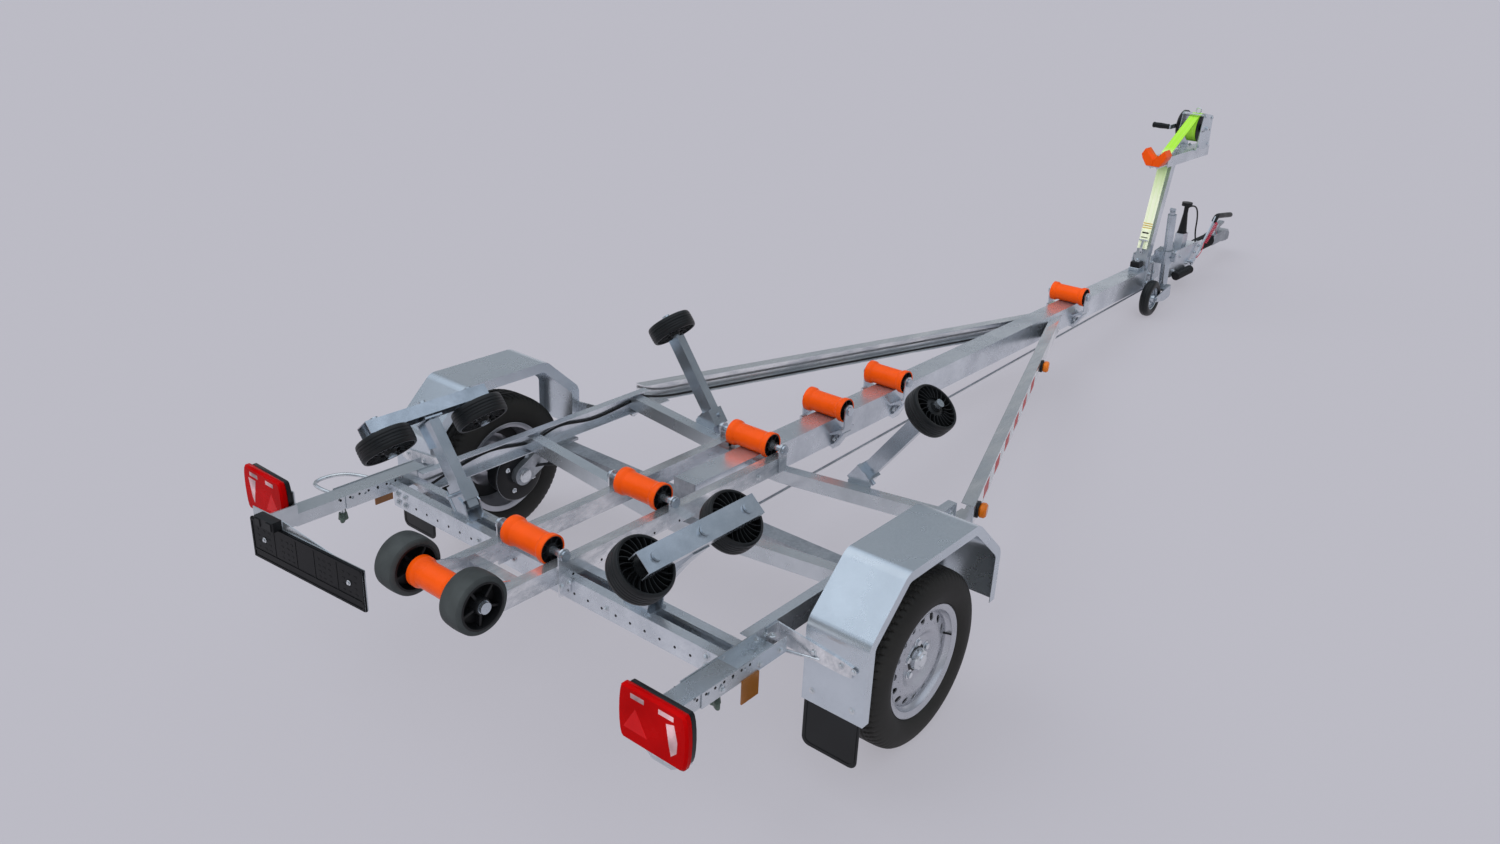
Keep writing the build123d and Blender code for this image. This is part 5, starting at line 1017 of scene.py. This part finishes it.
def bellows(length, low, high, folds):
    """radius = mean + half the swing x cos(turns), from one flat end to the other."""
    x = np.linspace(0, length, 8 * folds + 1)
    r = (low + high) / 2 - (high - low) / 2 * np.cos(2 * np.pi * folds * x / length)
    return np.concatenate([[(0, 0)], np.stack([x, r], -1), [(length, 0)]])


gaiter = turned(bellows(238, 32, 44, 9), (5051, 0, 500), (1, 0, 0), turns=40)
boot = turned(bellows(246, 23.5, 27, 16), (4523.5, -83.3, 412), (1, 0, 0), turns=36)
piece("overrun_gaiter", "chassis", BLACK_PLASTIC, "black_rubber", gaiter)
piece("spring_boot", "chassis", BLACK_PLASTIC, "black_rubber", boot, replaces=("brake_spring",))
LEVER_Y = -78.0
grip_way = [(5086, 672), (5104, 688), (5134, 699), (5200, 693), (5300, 681), (5394, 669)]
grip_line = smooth_path([(x, LEVER_Y, z) for x, z in grip_way], 40)
piece("lever_grip", "chassis", BLACK_PLASTIC, "black_plastic", tube(grip_line, 16.5, 14))
turns = np.linspace(0, 2 * np.pi * 13, 13 * 14)
along = np.linspace(0, 1, len(turns))[:, None]
coil_line = (1 - along) * np.array([4930, -98, 556]) + along * np.array([5082, -98, 664])
lever_way = np.array([152, 0, 108]) / np.hypot(152, 108)
coil_up = np.cross(lever_way, (0, 1, 0))
coil_line = coil_line + 8 * (np.cos(turns)[:, None] * np.array([0, 1, 0]) + np.sin(turns)[:, None] * coil_up)
tail = smooth_path([coil_line[-1], (5110, -92, 660), (5180, -70, 600), (5300, -44, 545)], 16)
head_end = smooth_path([(4860, -84, 470), (4890, -96, 510), coil_line[0]], 10)
runs = [tube(coil_line, 2.6, 7), tube(tail, 2.2, 7), tube(head_end, 2.2, 7)]
piece("breakaway_cable", "chassis", COIL_PINK, "black_plastic", *runs)

# %% [markdown]
# A plug's lead is a free cord, a short one: it leaves the plug's head, bows forward and goes into the
# housing. Its line is a NURBS spline, which gives the smooth sag of a rubber lead by itself.
# %% the plug's lead
lead_way = [
    (4738, -14, 806), (4790, -20, 812), (4880, -22, 780), (4926, -20, 700),
    (4926, -20, 640), (4940, -20, 600), (4964, -20, 562), (4966, -20, 545),
]
lead_data = bpy.data.curves.new("plug_lead", "CURVE")
lead_data.dimensions = "3D"
lead_spline = lead_data.splines.new("NURBS")
lead_spline.points.add(len(lead_way) - 1)
for point, place in zip(lead_spline.points, park(lead_way)):
    point.co = (*place, 1)
lead_spline.order_u = 3
lead_spline.use_endpoint_u = True
lead_data.bevel_depth = 0.005
lead_data.bevel_resolution = 3
lead_data.use_fill_caps = True
lead_data.materials.append(CABLE_BLACK)
plug_lead = bpy.data.objects.new("plug_lead", lead_data)
bpy.context.collection.objects.link(plug_lead)
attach(plug_lead, "chassis")
steps = np.diff(park(lead_way), axis=0)
print("lead runs", round(float(np.linalg.norm(steps, axis=1).sum()), 3), "m")

# %% [markdown]
# The side markers are round-cornered lenses on black feet, and the struts carry a run of red and
# white reflecting tape. Both lie on the strut's slanting outer face, so they are drawn along it.
# %% markers and tape
SLOPE = 0.338
STRUT_START = np.array([655.0, 829.0, 460.0])
strut_way = np.array([1.0, -SLOPE, 0]) / math.hypot(1, SLOPE)
strut_out = np.array([SLOPE, 1.0, 0]) / math.hypot(1, SLOPE)
UP = np.array([0, 0, 1.0])


def on_strut(x, outline, lift, depth, bevel):
    """Slab on the left strut's outer face at x; the outline is (forward along it, up)."""
    middle = STRUT_START + (x - 655) / strut_way[0] * strut_way
    return slab(np.array(outline, float) * (-1, 1), middle + lift * strut_out, -strut_way, UP, depth, bevel)


def oval(half_x, half_z, points=24, power=0.6):
    """Rounded rectangle as a squared-off ellipse."""
    a = np.linspace(0, 2 * np.pi, points, endpoint=False)
    c, s = np.cos(a), np.sin(a)
    wide, high = (half * np.sign(w) * np.abs(w) ** power for half, w in ((half_x, c), (half_z, s)))
    return np.stack([wide, high], -1)


markers = [on_strut(x, oval(31, 23), 9, 28, 7) for x in (720, 2260)]
feet = [on_strut(x, oval(36, 25), 0.2, 10, 2) for x in (720, 2260)]
piece("marker_lenses", "chassis", MARKER_LENS, "amber_lens", *mirrored(*markers), replaces=("side_markers",))
piece("marker_feet", "chassis", BLACK_PLASTIC, "black_plastic", *mirrored(*feet))
dash = [(-50, -24), (50, -24), (50, 24), (-50, 24)]
red_tape = [on_strut(x, dash, 0.05, 0.5, 0.1) for x in range(900, 2100, 220)]
white_tape = [on_strut(x, dash, 0.05, 0.5, 0.1) for x in range(1010, 2200, 220)]
piece("tape_red", "chassis", TAPE_RED, "red_lens", *mirrored(*red_tape))
piece("tape_white", "chassis", TAPE_WHITE, "galvanised_sheet", *mirrored(*white_tape))

# %% [markdown]
# The light arms slide in their channels and are held by dull green wing knobs from below. The left one
# has a grab loop at its front end. The knobs' wings are two flat lobes on a short screw.
# %% light arms
KNOBS = ((1, -794), (-1, -700))
knobs, screws = [], []
for side, x in KNOBS:
    middle = np.array([x, side * 808, 455.0])
    screws.append(turned([(0, 0), (0, 8), (30, 8), (30, 0)], middle - (0, 0, 30), (0, 0, 1), turns=16))
    knobs.append(turned([(0, 0), (0, 17), (22, 14), (22, 0)], middle - (0, 0, 52), (0, 0, 1), turns=24))
    knobs.append(slab(oval(44, 10, 20, 0.8), middle - (0, 0, 50), (0.6, 0.8, 0), (-0.8, 0.6, 0), 18, 3))
loop_way = [
    (-640, 850, 478), (-648, 890, 484), (-690, 952, 486), (-750, 975, 486),
    (-800, 960, 486), (-806, 910, 484), (-790, 850, 478),
]
loops = [tube(smooth_path(loop_way, 48), 7, 10)]
arm_bolts = [bolt((x, 848, 482), (0, 1, 0), 8, stub=3) for x in (-560, -470)]
arm_bolts += [bolt((x, -848, 476), (0, -1, 0), 8, stub=3) for x in (-720, -560, -470)]
arm_bolts.append(bolt((-458, -808, 500), (0, 0, 1), 8, stub=3))
piece("arm_knobs", "chassis", GREEN_KNOB, "black_plastic", *knobs)
hardware("arm_fasteners", *screws, *loops, *arm_bolts)

# %% [markdown]
# Bolts close every joint of the frame. Each line of the table is a place, the way the bolt faces and
# its size, drawn for the left side; the ones off the centre line are mirrored to the right.
# %% frame bolts
LEFT, DOWN, REAR, TOP = (0, 1, 0), (0, 0, -1), (-1, 0, 0), (0, 0, 1)
places = []
places += [((x, 768, z), LEFT, 9) for x in (-480, -440) for z in (440, 480)]
places += [((x, 768, 470), LEFT, 10) for x in (110, 190, 560, 600)]
places += [((x, 750, 414 - 6), DOWN, 10) for x in (560, 610, 690)]
places += [((-615, y, z), REAR, 9) for y in (700, 740) for z in (424, 456)]
places += [((-615, y, 440), REAR, 7) for y in (120, 300)]
places += [((x, 146, 470), LEFT, 8) for x in (-655, -625)]
places += [((x, 140, 505), LEFT, 8) for x in (300, 120, -320)]
places += [((x, 100, 520), LEFT, 8) for x in (425,)]
places += [((x, 56, 440), LEFT, 9) for x in (896, 932, 1337, 1373, 3118, 3154)]
POST_SPOTS = ((4110, 450), (4200, 450), (4130, 500), (4190, 500), (4140, 570), (4190, 570))
places += [((x, 56, z), LEFT, 11) for x, z in POST_SPOTS]
NOSE_SPOTS = ((4420, 450), (4460, 480), (4540, 440), (4620, 520), (4760, 450), (4880, 500), (4940, 530))
places += [((x, 56, z), LEFT, 9) for x, z in NOSE_SPOTS]
places += [((x, 500, 361 + 0.10 * 450 - 1), TOP, 8) for x in (5, 575)]
places += [((x, y, 340), DOWN, 9) for x in (120, 180) for y in (720, 755)]
frame_set = [bolt(at, way, size, stub=3) for at, way, size in places]
hardware("frame_bolts", *mirrored(*frame_set))

# %% [markdown]
# The arms, the rear beam and the winch plates are punched with rows of small holes for other
# lengths and widths. A hole this small is only a dark spot, so each is a thin black disc of
# painted shade, dark where the hole's inside is in shadow.
# %% punched holes
ARM_SIDES = (768.0, 848.0, -848.0, -768.0)
spots = [((x, y, 495), (0, np.sign(y), 0), 4.5) for x in range(-820, -600, 36) for y in ARM_SIDES]
spots += [((-615, s * y, 432), REAR, 4.5) for y in range(160, 700, 60) for s in (-1, 1)]
spots += [((x, s * 66, 1300), (0, s, 0), 6) for x in (4560, 4590, 4680) for s in (-1, 1)]
spots += [((x, s * 140, 488), (0, s, 0), 4.5) for x in range(-600, 240, 120) for s in (-1, 1)]
hole_shade_discs = [turned([(0, 0), (0, size), (0.4, size), (0.4, 0)], at, way, turns=14) for at, way, size in spots]
piece("punched_hole_shade", "chassis", BOARD_BLACK, "black_plastic", *hole_shade_discs)

# %% [markdown]
# Black cables run inside the left rail and along the axle to the brakes and lamps, held by clips. They
# are held pieces, not free cords, so each is a tube along a smooth path close to what carries it.
# %% held cables
lamp_way = [
    (-500, 740, 440), (-380, 758, 455), (-200, 756, 480), (0, 758, 452),
    (150, 756, 476), (350, 758, 450), (620, 756, 470),
]
rail_way = [(620, 756, 470), (760, 744, 436), (1000, 664, 434), (2000, 326, 434), (2760, 66, 434)]
brake_way = [
    (150, 30, 326), (152, 200, 322), (160, 480, 330), (150, 690, 326), (90, 780, 320), (40, 818, 310),
]
cables = [tube(smooth_path(way, 60), 5) for way in (lamp_way, rail_way)]
cables += [tube(smooth_path(np.array(brake_way) * (1, side, 1), 40), 6) for _, side in SIDES]
piece("held_cables", "chassis", CABLE_BLACK, "black_plastic", *cables)

# %% [markdown]
# A black latch sits on a zinc foot below the winch post, where the strap's slack is parked. A flat
# cap closes the front end of the keel's open section by the axle. All are plain blocks, and the
# latch's stud is turned.
# %% post latch
latch = brick((4018, -27, 548), (4082, 27, 582), 4)
stud = turned([(0, 0), (0, 15), (10, 14), (17, 8), (19, 0)], (4052, 0, 582), UP, turns=20)
latch_foot = [brick((4012, -30, 526.2), (4088, 30, 548.5), 2), stud]
piece("latch_foot", "chassis", ZINC_PLATED, "galvanised", *latch_foot)
cap = brick((56, -49.5, 416.5), (60.5, 49.5, 525.5), 0.8)
piece("keel_cap", "chassis", ZINC_DULL, "galvanised", cap)
piece("post_latch", "chassis", BLACK_PLASTIC, "black_plastic", latch)
